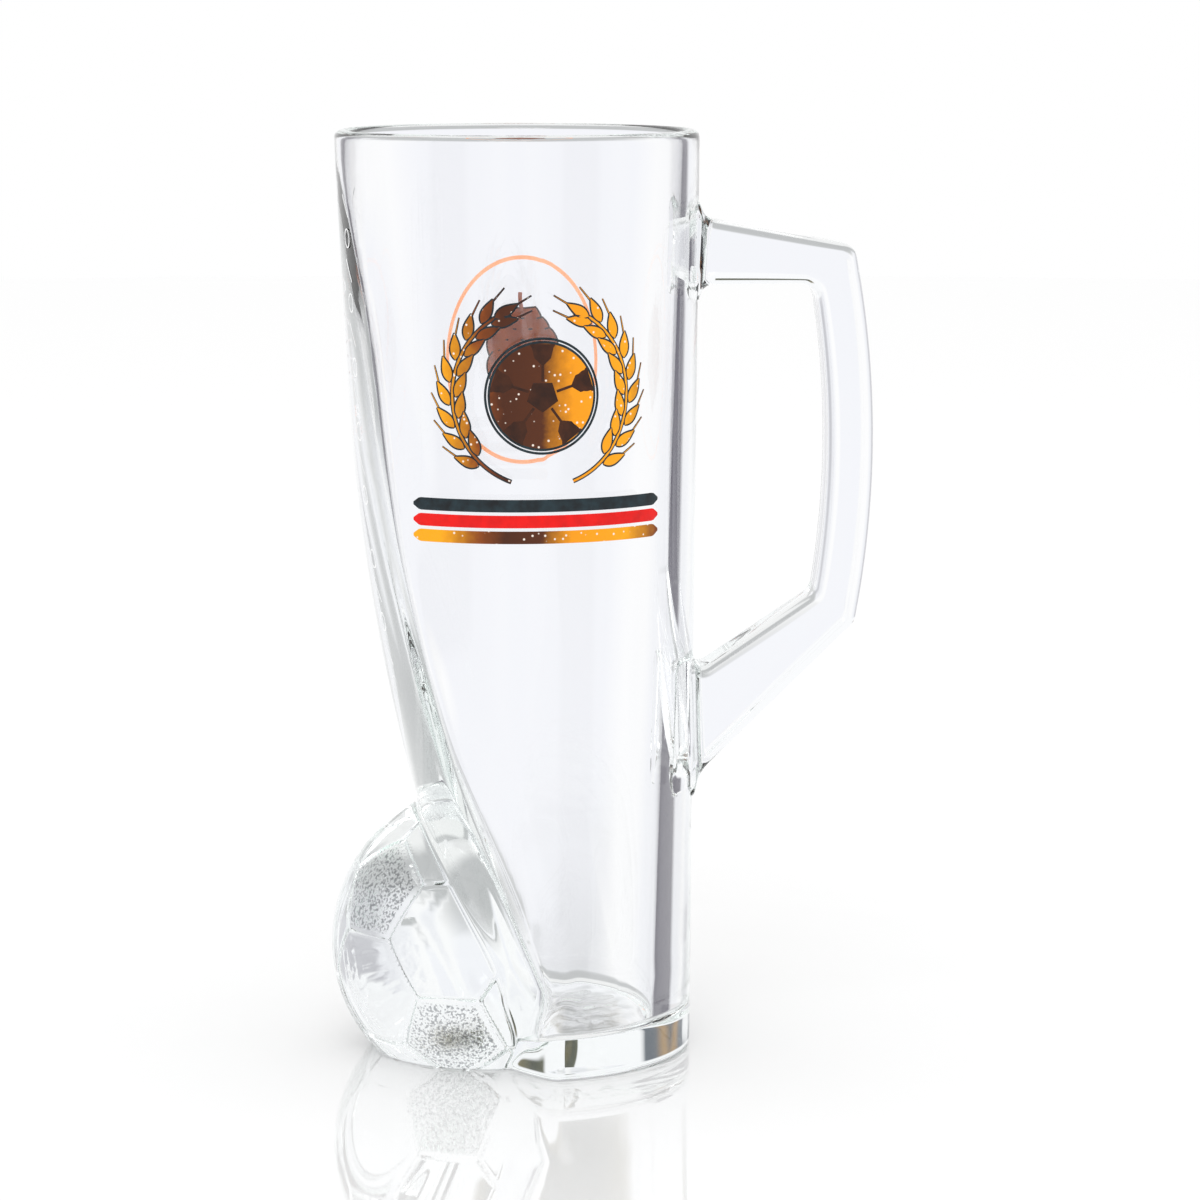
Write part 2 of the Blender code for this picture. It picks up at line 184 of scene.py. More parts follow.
@dataclass
class SlantedSide:
    """The bowed side over the football, given by its middle line and by the radius of its level arcs."""

    height: float = 205.0
    foot_offset: float = 10.6
    foot_height: float = 19.0
    bend_offset: float = 33.6
    bend_height: float = 82.0
    bend_radius: float = 430.0
    rim_offset: float = 40.3
    foot_bow: float = 52.0
    rim_bow: float = 51.0
    squareness: float = 2.9
    halvings: int = 34
    shoulder_top: float = 95.0
    shoulder_foot: float = 33.0
    heel_top: float = 20.0
    heel_foot: float = 3.0
    foot_wall: float = 14.6
    rim_wall: float = 2.4

    def offset(self, z: Array) -> Array:
        """Distance of the middle line from the axis: an upright foot, a lean, an arc and a steeper lean."""
        low = (self.bend_offset - self.foot_offset) / (self.bend_height - self.foot_height)
        high = (self.rim_offset - self.bend_offset) / (self.height - self.bend_height)
        lean_low, lean_high = math.atan(low), math.atan(high)
        half_turn = (lean_low - lean_high) / 2.0
        run = math.hypot(self.bend_offset - self.foot_offset, self.bend_height - self.foot_height)
        reach = min(self.bend_radius * math.tan(half_turn), 0.98 * run)
        radius = reach / math.tan(half_turn)
        start = self.bend_height - reach * math.cos(lean_low)
        end = self.bend_height + reach * math.cos(lean_high)
        centre_z = start + radius * math.sin(lean_low)
        centre_x = self.bend_offset - reach * math.sin(lean_low) - radius * math.cos(lean_low)
        arc = centre_x + np.sqrt(np.maximum(radius**2 - (z - centre_z) ** 2, 0.0))
        lean = self.bend_offset + np.where(z < self.bend_height, low, high) * (z - self.bend_height)
        line = np.where((z > start) & (z < end), arc, lean)
        return np.where(z < self.foot_height, self.foot_offset, line)

    def bow(self, z: Array) -> Array:
        """Radius of the level arcs."""
        return self.foot_bow + (self.rim_bow - self.foot_bow) * z / self.height

    def reach(self, turn: Array, z: Array, wall_radius: Array) -> Array:
        """Distance from the mug's axis to the outer face.

        High up, a level section is an arc. Towards the foot it changes to u^p + (|y|/d)^p = 1 between its
        creases (c, +-d) and its middle (m, 0), with u = (c - x) / (c - m), which has fuller shoulders. The
        rays are cut with that by halving.

        Args:
            turn: Angle of the ray about the axis.
            z: Height.
            wall_radius: Radius of the round wall that the side meets at its creases.

        Returns:
            The distance along each ray.
        """
        bow = self.bow(z)
        offset = self.offset(z)
        centre = bow - offset
        arc = circle_reach(turn, centre, bow)
        crease = (centre**2 - bow**2 + wall_radius**2) / (2.0 * centre)
        half = np.sqrt(np.maximum(wall_radius**2 - crease**2, 1.0))
        depth = np.maximum(crease + offset, 0.05)
        low, high = np.zeros_like(turn), np.full_like(turn, 90.0)
        for _ in range(self.halvings):
            reach = (low + high) / 2.0
            inward = (crease - reach * np.cos(turn)) / depth
            across = np.abs(reach * np.sin(turn)) / half
            inside = np.sign(inward) * np.abs(inward) ** self.squareness + across**self.squareness < 1.0
            low, high = np.where(inside, reach, low), np.where(inside, high, reach)
        full = ease(-z, -self.shoulder_top, -self.shoulder_foot) * ease(z, self.heel_foot, self.heel_top)
        return arc + (low - arc) * full

    def inner_reach(self, turn: Array, z: Array, middle: Array) -> Array:
        """Distance from a point of the X axis to the flat inner face: (offset - wall + middle) / -cos t."""
        return (self.offset(z) - self.wall(z) + middle) / np.maximum(-np.cos(turn), 0.05)

    def wall(self, z: Array) -> Array:
        """Thickness of the wall behind the side, drawn thinner towards the lip."""
        return self.foot_wall + (self.rim_wall - self.foot_wall) * z / self.height


@dataclass
class Football:
    """The solid football under the slanted side, with seams and stippled five-sided panels."""

    radius: float = 35.1
    height: float = 23.5
    offset: float = 6.8
    seam_half_width: float = 0.55
    seam_depth: float = 0.55
    stipple: float = 0.018
    stipple_size: float = 1.7
    plain_low: float = 28.0
    plain_high: float = 36.0
    far_from: float = -4.0
    far_to: float = 4.0
    far_share: float = 0.6
    waves: int = 32
    pentagon_distance: float = 2.3274
    hexagon_distance: float = 2.2673

    def panels(self) -> Array:
        """Panel directions divided by their distance from the centre: 12 five-sided, then 20 six-sided.

        The five-sided panels face the corners of an icosahedron that stands on a corner, and the
        six-sided ones face the middles of its triangles.

        Returns:
            One row for each panel.
        """
        lift = math.atan(0.5)
        turns = np.radians(36.0 * np.arange(10))
        rise = np.where(np.arange(10) % 2 == 0, math.sin(lift), -math.sin(lift))
        ring = np.stack([np.cos(turns) * math.cos(lift), np.sin(turns) * math.cos(lift), rise], axis=-1)
        corners = np.vstack([[0.0, 0.0, 1.0], [0.0, 0.0, -1.0], ring])
        near = corners @ corners.T > 0.4
        triples = np.array(np.meshgrid(*[np.arange(12)] * 3, indexing="ij")).reshape(3, -1).T
        a, b, c = triples[(triples[:, 0] < triples[:, 1]) & (triples[:, 1] < triples[:, 2])].T
        joined = near[a, b] & near[b, c] & near[a, c]
        middles = (corners[a] + corners[b] + corners[c])[joined]
        middles /= np.linalg.norm(middles, axis=1, keepdims=True)
        return np.vstack([corners / self.pentagon_distance, middles / self.hexagon_distance])

    def reach(self, turn: Array, z: Array) -> Array:
        """Distance from the mug's axis to the ball, or 0 above it."""
        level = np.sqrt(np.maximum(self.radius**2 - (z - self.height) ** 2, 0.0))
        inside = level > self.offset
        return np.where(inside, circle_reach(turn, -self.offset, np.maximum(level, self.offset)), 0.0)

    def grain(self, spots: Array) -> Array:
        """Unevenness alike in all directions: a sum of cosine waves with random directions and phases."""
        chance = np.random.default_rng(7)
        headings = chance.normal(size=(3, self.waves))
        headings *= 2.0 * math.pi / self.stipple_size / np.linalg.norm(headings, axis=0)
        phases = chance.uniform(0.0, 2.0 * math.pi, self.waves)
        return np.cos(spots @ headings + phases).sum(axis=-1) / math.sqrt(self.waves / 2.0)

    def relief(self, spots: Array, share: Array) -> tuple[Array, Array]:
        """Move points of the ball for its seams and stipple.

        A seam runs where the two nearest panels are equally near. The ball sinks there by
        depth (1 - (distance / half width)^2)^2, and the five-sided panels are roughened at random.
        The relief is shallower on the far side, and fades out there below the slanted side.

        Args:
            spots: Points on the ball.
            share: How far each point belongs to the ball, from 0 to 1.

        Returns:
            The moved points, and the share of stipple at each.
        """
        rays = spots - np.array([-self.offset, 0.0, self.height])
        rays /= np.linalg.norm(rays, axis=-1, keepdims=True)
        panels = self.panels()
        nearness = rays @ panels.T
        best = np.argsort(nearness, axis=-1)[..., -2:]
        first, second = best[..., 1], best[..., 0]
        lead = np.take_along_axis(nearness, best, axis=-1)
        spread = np.linalg.norm(panels[first] - panels[second], axis=-1)
        gap = self.radius * (lead[..., 1] - lead[..., 0]) / spread
        sunk = self.seam_depth * np.clip(1.0 - (gap / self.seam_half_width) ** 2, 0.0, 1.0) ** 2
        behind = ease(spots[..., 1], self.far_from, self.far_to)
        plain = ease(spots[..., 2], self.plain_low, self.plain_high)
        share = share * (1.0 - behind * (1.0 - self.far_share + self.far_share * plain))
        rough = (first > 1) * (first < 12) * ease(gap, self.seam_half_width, 2.0 * self.seam_half_width) * share
        grain = self.grain(spots) * self.stipple * rough
        return spots + rays * ((grain - sunk) * share)[..., None], rough


@dataclass
class MugBody:
    """The pressed body: a round wall, the slanted side, the cavity and the solid floor."""

    height: float = 205.0
    rim_radius: float = 40.3
    foot_radius: float = 38.6
    foot_edge: float = 1.5
    lip_wall: float = 3.5
    foot_wall: float = 8.2
    floor: float = 7.5
    floor_round: float = 2.5
    crease: float = 1.6
    inner_crease: float = 5.0
    rim_crease: float = 0.5
    crease_run: float = 55.0
    ball_fillet: float = 2.2
    ball_share: tuple[float, float] = (0.2, 3.0)
    ripple_height: float = 0.16
    split_height: float = 60.0
    wide_columns: int = 92
    shoulder_columns: int = 82
    middle_columns: int = 168
    fine_step: float = 0.5
    plain_step: float = 1.5
    lip_steps: int = 10
    inner_rows: int = 44
    floor_rings: int = 12
    foot_steps: int = 8

    def wall_radius(self, z: Array) -> Array:
        """Outer radius of the round wall."""
        return self.foot_radius + (self.rim_radius - self.foot_radius) * z / self.height

    def inner_radius(self, z: Array) -> Array:
        """Inner radius of the round wall, drawn thinner towards the lip."""
        low, high = self.foot_radius - self.foot_wall, self.rim_radius - self.lip_wall
        return low + (high - low) * (z - self.floor) / (self.height - self.floor)

    def columns(self) -> Array:
        """Angles of the outer columns: closest on the slanted side's middle, wider round the handle."""
        edge, inner = math.radians(85.0), math.radians(150.0)
        turn = 2.0 * math.pi
        parts = [(-edge, edge, self.wide_columns), (edge, inner, self.shoulder_columns),
                 (inner, turn - inner, self.middle_columns), (turn - inner, turn - edge, self.shoulder_columns)]
        return np.concatenate([np.linspace(low, high, count, endpoint=False) for low, high, count in parts])

    def outer_skin(self, turn: Array, z: Array, side: SlantedSide, ball: Football) -> tuple[Array, Array]:
        """Points of the outside and the share of the football at each.

        The level section is the smaller of the round wall and the slanted side, joined to the ball by
        the larger of the two distances from the axis, with both crossings rounded.

        Args:
            turn: Angles, one column each.
            z: Heights, one row each.
            side: The slanted side.
            ball: The football.

        Returns:
            Points of shape (rows, columns, 3), and the football's share of shape (rows, columns).
        """
        turn, z = np.meshgrid(turn, z)
        wall = self.wall_radius(z)
        body = smooth_min(wall, side.reach(turn, z, wall), self.crease)
        inset = np.maximum(self.foot_edge - z, 0.0)
        body = body - self.foot_edge + np.sqrt(self.foot_edge**2 - inset**2)
        sphere = ball.reach(turn, z)
        reach = smooth_max(body, sphere, self.ball_fillet)
        share = ease(sphere - body, *self.ball_share)
        return np.stack([reach * np.cos(turn), reach * np.sin(turn), z], axis=-1), share

    def cavity_skin(self, turn: Array, z: Array, side: SlantedSide, shrink: Array) -> Array:
        """Points of the cavity's wall, about a middle line that keeps half-way between its two sides.

        Args:
            turn: Angles, one column each.
            z: Heights, one row each.
            side: The slanted side.
            shrink: Millimetres by which each row is drawn in, for the rounded foot of the cavity.

        Returns:
            Points of shape (rows, columns, 3).
        """
        turn, z = np.meshgrid(turn, z)
        right = self.inner_radius(z)
        left = side.offset(z) - side.wall(z)
        middle = (right - left) / 2.0 * ease(self.height - z, 0.0, self.height / 2.0)
        wall = circle_reach(turn, -middle, right)
        rounding = self.rim_crease + self.inner_crease * ease(self.height - z, 0.0, self.crease_run)
        reach = smooth_min(wall, side.inner_reach(turn, z, middle), rounding) - shrink[:, None]
        return np.stack([middle + reach * np.cos(turn), reach * np.sin(turn), z], axis=-1)

    def ripple(self, spots: Array) -> Array:
        """Waves that the plunger leaves in the cavity's floor: 0.6 with bent crests, and 0.4 across them."""
        x, y = spots[..., 0], spots[..., 1]
        return np.sin(x * 1.15 + 0.8 * np.sin(y * 0.5)) * 0.6 + np.sin(y * 0.9 - x * 0.4) * 0.4

    def build(self, side: SlantedSide, ball: Football) -> bpy.types.Object:
        """Build the body and the football as one closed mesh.

        The rows run from the foot up the outside, over the half-round lip, down the cavity and over its
        floor. The outside has twice as many columns round the football as above it.

        Args:
            side: The slanted side.
            ball: The football.

        Returns:
            The object, with the attribute "stipple" on its points.
        """
        fine = self.columns()
        plain = fine[0::2]
        low_rows = np.concatenate([[0.0, 0.25, 0.6, 1.0], np.arange(1.5, self.split_height, self.fine_step)])
        spots, share = self.outer_skin(fine, low_rows, side, ball)
        low, stipple = ball.relief(spots, share)
        low[..., 2] = np.where(spots[..., 2] < self.foot_edge, spots[..., 2], low[..., 2])
        half = self.lip_wall / 2.0
        edge = self.height - half
        high_rows = np.append(np.arange(self.split_height, edge - 0.5, self.plain_step), edge)
        high, _ = self.outer_skin(plain, high_rows, side, ball)
        inner_rows = np.linspace(edge, self.floor + self.floor_round, self.inner_rows)
        inner = self.cavity_skin(plain, inner_rows, side, np.zeros_like(inner_rows))
        lip_turn = np.linspace(0.0, math.pi, self.lip_steps + 1)[1:-1, None, None]
        centre, spoke = (high[-1] + inner[0]) / 2.0, (high[-1] - inner[0]) / 2.0
        lip = centre + spoke * np.cos(lip_turn) + np.array([0.0, 0.0, half]) * np.sin(lip_turn)
        foot_turn = np.linspace(0.0, math.pi / 2.0, self.foot_steps + 1)[1:]
        foot_rows = self.floor + self.floor_round * (1.0 - np.sin(foot_turn))
        inner_foot = self.cavity_skin(plain, foot_rows, side, self.floor_round * (1.0 - np.cos(foot_turn)))
        rings = np.linspace(1.0, 0.0, self.floor_rings, endpoint=False)[1:, None, None]
        middle = inner_foot[-1].mean(axis=0)
        floor = middle + (inner_foot[-1] - middle) * rings
        floor[..., 2] += self.ripple_height * self.ripple(floor) * (1.0 - rings[..., 0]) ** 0.5
        parts = [low, high, lip, inner, inner_foot, floor]
        flat = [part.reshape(-1, 3) for part in parts]
        starts = np.cumsum([0] + [len(part) for part in flat])
        rows = [starts[i] + np.arange(len(flat[i])).reshape(parts[i].shape[:2]) for i in range(len(parts))]
        upper = np.concatenate(rows[1:])
        quads = np.concatenate([ring_faces(rows[0][:-1], rows[0][1:]).reshape(-1, 4),
                                ring_faces(upper[:-1], upper[1:]).reshape(-1, 4)])
        last = upper[-1]
        fan = np.stack([last, np.roll(last, -1), np.full_like(last, starts[-1])], axis=-1)
        faces = quads.tolist() + halving_faces(rows[0][-1], upper[0]).tolist() + fan.tolist()
        faces.append(rows[0][0][::-1].tolist())
        points = np.concatenate(flat + [middle[None]])
        piece = new_piece("glass_mug", points, faces)
        weight = np.zeros(len(points), dtype=np.float32)
        weight[: stipple.size] = stipple.ravel()
        piece.data.attributes.new("stipple", "FLOAT", "POINT").data.foreach_set("value", weight)
        return piece


@dataclass
class Handle:
    """The handle: a flat bar with rounded edges, swept from the upper weld to the lower one."""

    reach: float = 78.8
    grip_depth: float = 10.1
    grip_radius: float = 215.0
    grip_middle: float = 136.0
    half_thickness: float = 7.5
    edge: float = 2.8
    upper_top: float = 179.5
    upper_rise: float = 5.9
    upper_under: float = 171.1
    lower_outer: float = 95.7
    lower_inner: float = 102.2
    pad_foot: float = 63.7
    pad_top: float = 86.3
    outer_corner: float = 3.6
    inner_corner: float = 4.2
    fillet: float = 3.4
    side_fillet: float = 2.0
    sunk: float = 2.0
    pad_stand: float = 1.75
    weld_share: float = 0.26
    weld_steps: int = 20
    arm_steps: int = 8
    corner_steps: int = 9
    grip_steps: int = 64
    corner_clear: int = 5
    edge_steps: int = 9
    face_steps: int = 5

    def grip(self, reach: float, z: Array) -> Array:
        """Distance of a face of the grip from the axis, an arc about one centre for both faces."""
        radius = self.grip_radius - self.reach + reach
        return reach - radius + np.sqrt(radius**2 - (z - self.grip_middle) ** 2)

    def rounded(self, before: Array, corner: Array, after: Array, radius: float) -> Array:
        """Points of the arc that rounds a corner between two straight runs.

        Args:
            before: A point on the run before the corner.
            corner: The corner.
            after: A point on the run after it.
            radius: Radius of the arc.

        Returns:
            The arc's points, from the first run to the second.
        """
        back, ahead = before - corner, after - corner
        back, ahead = back / np.linalg.norm(back), ahead / np.linalg.norm(ahead)
        half = math.acos(float(back @ ahead)) / 2.0
        bisector = (back + ahead) / np.linalg.norm(back + ahead)
        centre = corner + bisector * radius / math.sin(half)
        start = corner + back * radius / math.tan(half) - centre
        end = corner + ahead * radius / math.tan(half) - centre
        share = np.linspace(0.0, 1.0, self.corner_steps + 1)[:, None]
        sweep = math.acos(float(start @ end) / radius**2)
        return centre + (start * np.sin((1.0 - share) * sweep) + end * np.sin(share * sweep)) / math.sin(sweep)

    def contour(self, reach: float, top: float, foot: float, roots: tuple[Array, Array],
                corner: float) -> Array:
        """One face of the handle seen from the side: a run, a corner, the grip's arc, a corner and a run.

        Args:
            reach: Distance of the grip's face from the axis.
            top: Height of the upper corner.
            foot: Height of the lower corner.
            roots: Ends of the two runs inside the body's wall.
            corner: Radius of the corners.

        Returns:
            Points (x, z), with the same number in each stretch for both faces.
        """
        heights = np.linspace(top, foot, self.grip_steps + 1)
        arc = np.stack([self.grip(reach, heights), heights], axis=-1)
        first = self.rounded(roots[0], arc[0], arc[1], corner)
        last = self.rounded(arc[-2], arc[-1], roots[1], corner)
        share = np.concatenate([np.linspace(0.0, self.weld_share, self.weld_steps, endpoint=False),
                                np.linspace(self.weld_share, 1.0, self.arm_steps, endpoint=False)])[:, None]
        run_in = roots[0] + (first[0] - roots[0]) * share
        run_out = roots[1] + (last[-1] - roots[1]) * share
        clear = self.corner_clear
        return np.concatenate([run_in, first, arc[clear:-clear], last, run_out[::-1]])

    def build(self, body: MugBody) -> bpy.types.Object:
        """Build the handle, with its ends sunk in the body's wall and flared where they meet it.

        A flare grows by f - sqrt(f^2 - (f - d)^2) within the fillet f of the wall, at distance d from it.

        Args:
            body: The body that the handle is welded to.

        Returns:
            The closed bar.
        """
        pad = body.rim_radius + self.pad_stand
        root = body.foot_radius - self.sunk

        def carried(far: Array, near_z: float) -> Array:
            """End of a run that passes (pad, near_z), carried on into the wall."""
            slope = (near_z - far[1]) / (pad - far[0])
            return np.array([root, near_z + slope * (root - pad)])

        def corner(reach: float, z: float) -> Array:
            """Corner of a face of the grip."""
            return np.array([self.grip(reach, z), z])

        inner_reach = self.reach - self.grip_depth
        outer_top, outer_foot = corner(self.reach, self.upper_top), corner(self.reach, self.lower_outer)
        inner_foot = corner(inner_reach, self.lower_inner)
        outer_roots = carried(outer_top, self.upper_top + self.upper_rise), carried(outer_foot, self.pad_foot)
        inner_roots = np.array([root, self.upper_under]), carried(inner_foot, self.pad_top)
        outer = self.contour(self.reach, self.upper_top, self.lower_outer, outer_roots, self.outer_corner)
        inner = self.contour(inner_reach, self.upper_under, self.lower_inner, inner_roots, self.inner_corner)
        away = np.where(np.arange(len(outer)) < len(outer) // 2, 1.0, -1.0)

        def flare(path: Array, size: float) -> Array:
            """Growth of the bar beside each point of a path, from its distance to the wall."""
            distance = np.clip(path[:, 0] - body.wall_radius(path[:, 1]), 0.0, size)
            return size - np.sqrt(size**2 - (size - distance) ** 2)

        outer[:, 1] += away * flare(outer, self.fillet)
        inner[:, 1] -= away * flare(inner, self.fillet)
        thick = self.half_thickness + flare((outer + inner) / 2.0, self.side_fillet)
        across = outer - inner
        across = (across / np.linalg.norm(across, axis=1, keepdims=True))[:, None, :]
        bend = np.linspace(0.0, math.pi / 2.0, self.edge_steps + 1)
        share = np.linspace(0.0, 1.0, self.face_steps + 1)[1:-1]
        # Half of the section: the outer edge, the flat side and the inner edge, by the distance in from a face
        # and from the side. The other half is its mirror image.
        inward, aside = self.edge * (1.0 - np.cos(bend)), self.edge - self.edge * np.sin(bend)
        start, end = outer[:, None, :] - across * self.edge, inner[:, None, :] + across * self.edge
        spots = np.concatenate([outer[:, None, :] - across * inward[None, :, None],
                                start + (end - start) * share[None, :, None],
                                inner[:, None, :] + across * inward[None, ::-1, None]], axis=1)
        y = np.concatenate([aside, np.zeros_like(share), aside[::-1]])[None, :] - thick[:, None]
        half = np.stack([spots[..., 0], y, spots[..., 1]], axis=-1)
        section = np.concatenate([half, half[:, ::-1] * np.array([1.0, -1.0, 1.0])], axis=1)
        rows, count = section.shape[:2]
        numbers = np.arange(rows * count).reshape(rows, count)
        quads = ring_faces(numbers[:-1], numbers[1:]).reshape(-1, 4).tolist()
        caps = [numbers[0][::-1].tolist(), numbers[-1].tolist()]
        return new_piece("handle_bar", section.reshape(-1, 3), quads + caps)


def unite(piece: bpy.types.Object, other: bpy.types.Object) -> None:
    """Join another closed mesh to a piece with a Boolean union, applied at once, and remove the other."""
    union = piece.modifiers.new("weld", "BOOLEAN")
    union.operation = "UNION"
    union.solver = "EXACT"
    union.object = other
    bpy.context.view_layer.update()
    evaluated = piece.evaluated_get(bpy.context.evaluated_depsgraph_get())
    mesh = bpy.data.meshes.new_from_object(evaluated)
    piece.modifiers.clear()
    old = piece.data
    piece.data = mesh
    mesh.name = piece.name
    bpy.data.meshes.remove(old)
    bpy.data.objects.remove(other)


@dataclass(frozen=True)
class PressedGlass:
    """Clear soda-lime glass, pressed hot in a mould and fire-polished: bright, faintly green where thick."""

    tint: str = "FFFFFF"
    ior: float = 1.52
    absorption: tuple[float, float, float, float] = (0.15, 0.62, 0.4, 1.0)
    density: float = 0.5
    stipple_roughness: float = 0.05
    speck_mm: float = 0.6
    speck_depth_mm: float = 0.1
    # Grey painted into the stipple's pits as painted shade; the glass itself is clear.
    pit_painted_shade: str = "8C8E92"
    pit_noise: tuple[float, float] = (0.52, 0.38)
    pit_edge: tuple[float, float] = (0.62, 0.95)
    stippled_from: float = 0.3

    def material(self, stippled: bool) -> bpy.types.Material:
        """Make the polished glass, or the matt, finely speckled glass of the football's five-sided panels,
        whose specks carry painted shade.

        Args:
            stippled: Whether the mould was speckled.

        Returns:
            The material.
        """
        name = "stippled_soda_lime_glass" if stippled else "polished_soda_lime_glass"
        material = bpy.data.materials.new(name)
        node = partial(add_node, empty_tree(material))
        look = {"Base Color": linear(self.tint), "Roughness": 0.0, "IOR": self.ior, "Transmission Weight": 1.0}
        if stippled:
            # Bump alone hardly shows in clear glass, so the pits are also painted darker as painted shade, most
            # inside the panels.
            place = node("TexCoord").outputs["Object"]
            specks = node("TexNoise", {"Vector": place, "Scale": 1.0 / (self.speck_mm * MM), "Detail": 1.0})
            bump = node("Bump", {"Height": specks, "Strength": 1.0, "Distance": self.speck_depth_mm * MM})
            low, high = self.pit_noise
            pits = node("MapRange", {"Value": specks, "From Min": low, "From Max": high})
            share = node("Attribute", attribute_name="stipple").outputs["Fac"]
            low, high = self.pit_edge
            near = node("MapRange", {"Value": share, "From Min": low, "From Max": high})
            shade = node("Math", {0: pits, 1: near}, operation="MULTIPLY")
            colour = node("Mix", {"Factor": shade, MIX_A: linear(self.tint), MIX_B: linear(self.pit_painted_shade)},
                          data_type="RGBA")
            look |= {"Base Color": colour, "Roughness": self.stipple_roughness, "Normal": bump}
        volume = node("VolumeAbsorption", {"Color": self.absorption, "Density": self.density})
        node("OutputMaterial", {"Surface": node("BsdfPrincipled", look), "Volume": volume})
        return material

    def dress(self, piece: bpy.types.Object) -> None:
        """Give a piece the polished glass, and the stippled glass where its "stipple" attribute says so."""
        mesh = piece.data
        mesh.materials.clear()
        for stippled in (False, True):
            mesh.materials.append(self.material(stippled))
        share = np.zeros(len(mesh.vertices), dtype=np.float32)
        mesh.attributes["stipple"].data.foreach_get("value", share)
        spots = np.zeros(3 * len(mesh.vertices), dtype=np.float32)
        mesh.vertices.foreach_get("co", spots)
        # The union carries the attribute over to the handle as well, where nothing is stippled.
        share[spots[0::3] > AXIS_X * MM] = 0.0
        mesh.attributes["stipple"].data.foreach_set("value", share)
        corners = np.zeros(len(mesh.loops), dtype=np.int32)
        mesh.loops.foreach_get("vertex_index", corners)
        first = np.zeros(len(mesh.polygons), dtype=np.int32)
        mesh.polygons.foreach_get("loop_start", first)
        matt = np.minimum.reduceat(share[corners], first) > self.stippled_from
        mesh.polygons.foreach_set("material_index", matt.astype(np.int32))


@dataclass(frozen=True)
class Enamel:
    """Ceramic ink, screen-printed and fired on: glossy, mottled where it lies thin, mostly opaque."""

    name: str
    colour: str
    deep: str
    roughness: float = 0.28
    mottle_mm: float = 2.4
    seen_through: float = 0.0
    lit_from_behind: float = 0.0
    gloss: float = 0.25
    grain_mm: float = 0.5
    grain_depth_mm: float = 0.02
    grain_strength: float = 0.25
    drift: tuple[float, float] = (0.35, 0.7)

    def material(self) -> bpy.types.Material:
        """Make the ink, which drifts between its two colours over a few millimetres."""
        material = bpy.data.materials.new(self.name)
        tree = empty_tree(material)
        node = partial(add_node, tree)
        place = node("TexCoord").outputs["Object"]
        colour = self.paint(tree, place)
        grain = node("TexNoise", {"Vector": place, "Scale": 1.0 / (self.grain_mm * MM)})
        bump = node("Bump", {"Height": grain, "Strength": self.grain_strength,
                             "Distance": self.grain_depth_mm * MM})
        # A little emission stands in for light that comes through some inks from behind.
        shader = node("BsdfPrincipled", {
            "Base Color": colour, "Roughness": self.roughness, "Specular IOR Level": self.gloss, "Normal": bump,
            "Transmission Weight": self.seen_through, "Emission Color": linear(self.deep),
            "Emission Strength": self.lit_from_behind})
        node("OutputMaterial", {"Surface": shader})
        return material

    def paint(self, tree: bpy.types.NodeTree, place: bpy.types.NodeSocket) -> bpy.types.Node:
        """Colour of the ink at each place.

        Args:
            tree: Node tree to add to.
            place: Output that gives the place.

        Returns:
            The node that gives the colour.
        """
        node = partial(add_node, tree)
        mottle = node("TexNoise", {"Vector": place, "Scale": 1.0 / (self.mottle_mm * MM), "Detail": 3.0})
        low, high = self.drift
        drift = node("MapRange", {"Value": mottle, "From Min": low, "From Max": high})
        colours = {MIX_A: linear(self.colour), MIX_B: linear(self.deep)}
        return node("Mix", {"Factor": drift, **colours}, data_type="RGBA")


@dataclass(frozen=True)
class LustreEnamel(Enamel):
    """Amber lustre: the ink is shaded across from amber to brown and back, and holds small pale bubbles."""

    left: float = -60.0
    right: float = 24.0
    shades: tuple[tuple[float, str], ...] = (
        (0.0, "F9A40E"), (0.3, "FBAA12"), (0.4, "8A4410"), (0.46, "4A220C"), (0.56, "552910"), (0.64, "F39A10"),
        (0.78, "F9A812"), (0.86, "7A3A10"), (1.0, "4A220C"))
    bubble_mm: float = 1.5
    bubble_share: float = 0.2
    bubble_edge: float = 0.6
    bubble_chance: float = 0.75
    mottle_shift: float = 0.05
    bubble_colour: str = "F6E9DC"

    def paint(self, tree: bpy.types.NodeTree, place: bpy.types.NodeSocket) -> bpy.types.Node:
        """Colour of the ink: a ramp across the mug, mottled, with a bubble in some cells of a loose grid.

        Args:
            tree: Node tree to add to.
            place: Output that gives the place.

        Returns:
            The node that gives the colour.
        """
        node = partial(add_node, tree)
        split = node("SeparateXYZ", {0: place})
        across = node("MapRange", {"Value": split.outputs["X"], "From Min": self.left * MM,
                                   "From Max": self.right * MM})
        mottle = node("TexNoise", {"Vector": place, "Scale": 1.0 / (self.mottle_mm * MM), "Detail": 4.0})
        shift = node("Math", {0: mottle, 1: self.mottle_shift, 2: across}, operation="MULTIPLY_ADD")
        ramp = node("ValToRGB", {"Fac": shift}, self.shades)
        cells = node("TexVoronoi", {"Vector": place, "Scale": 1.0 / (self.bubble_mm * MM)})
        dot = node("MapRange", {"Value": cells, "From Min": self.bubble_share,
                                "From Max": self.bubble_edge * self.bubble_share})
        pick = node("SeparateColor", {0: cells.outputs["Color"]})
        some = node("Math", {0: pick, 1: 1.0 - self.bubble_chance}, operation="GREATER_THAN")
        bubble = node("Math", {0: dot, 1: some}, operation="MULTIPLY")
        return node("Mix", {"Factor": bubble, MIX_A: ramp, MIX_B: linear(self.bubble_colour)}, data_type="RGBA")


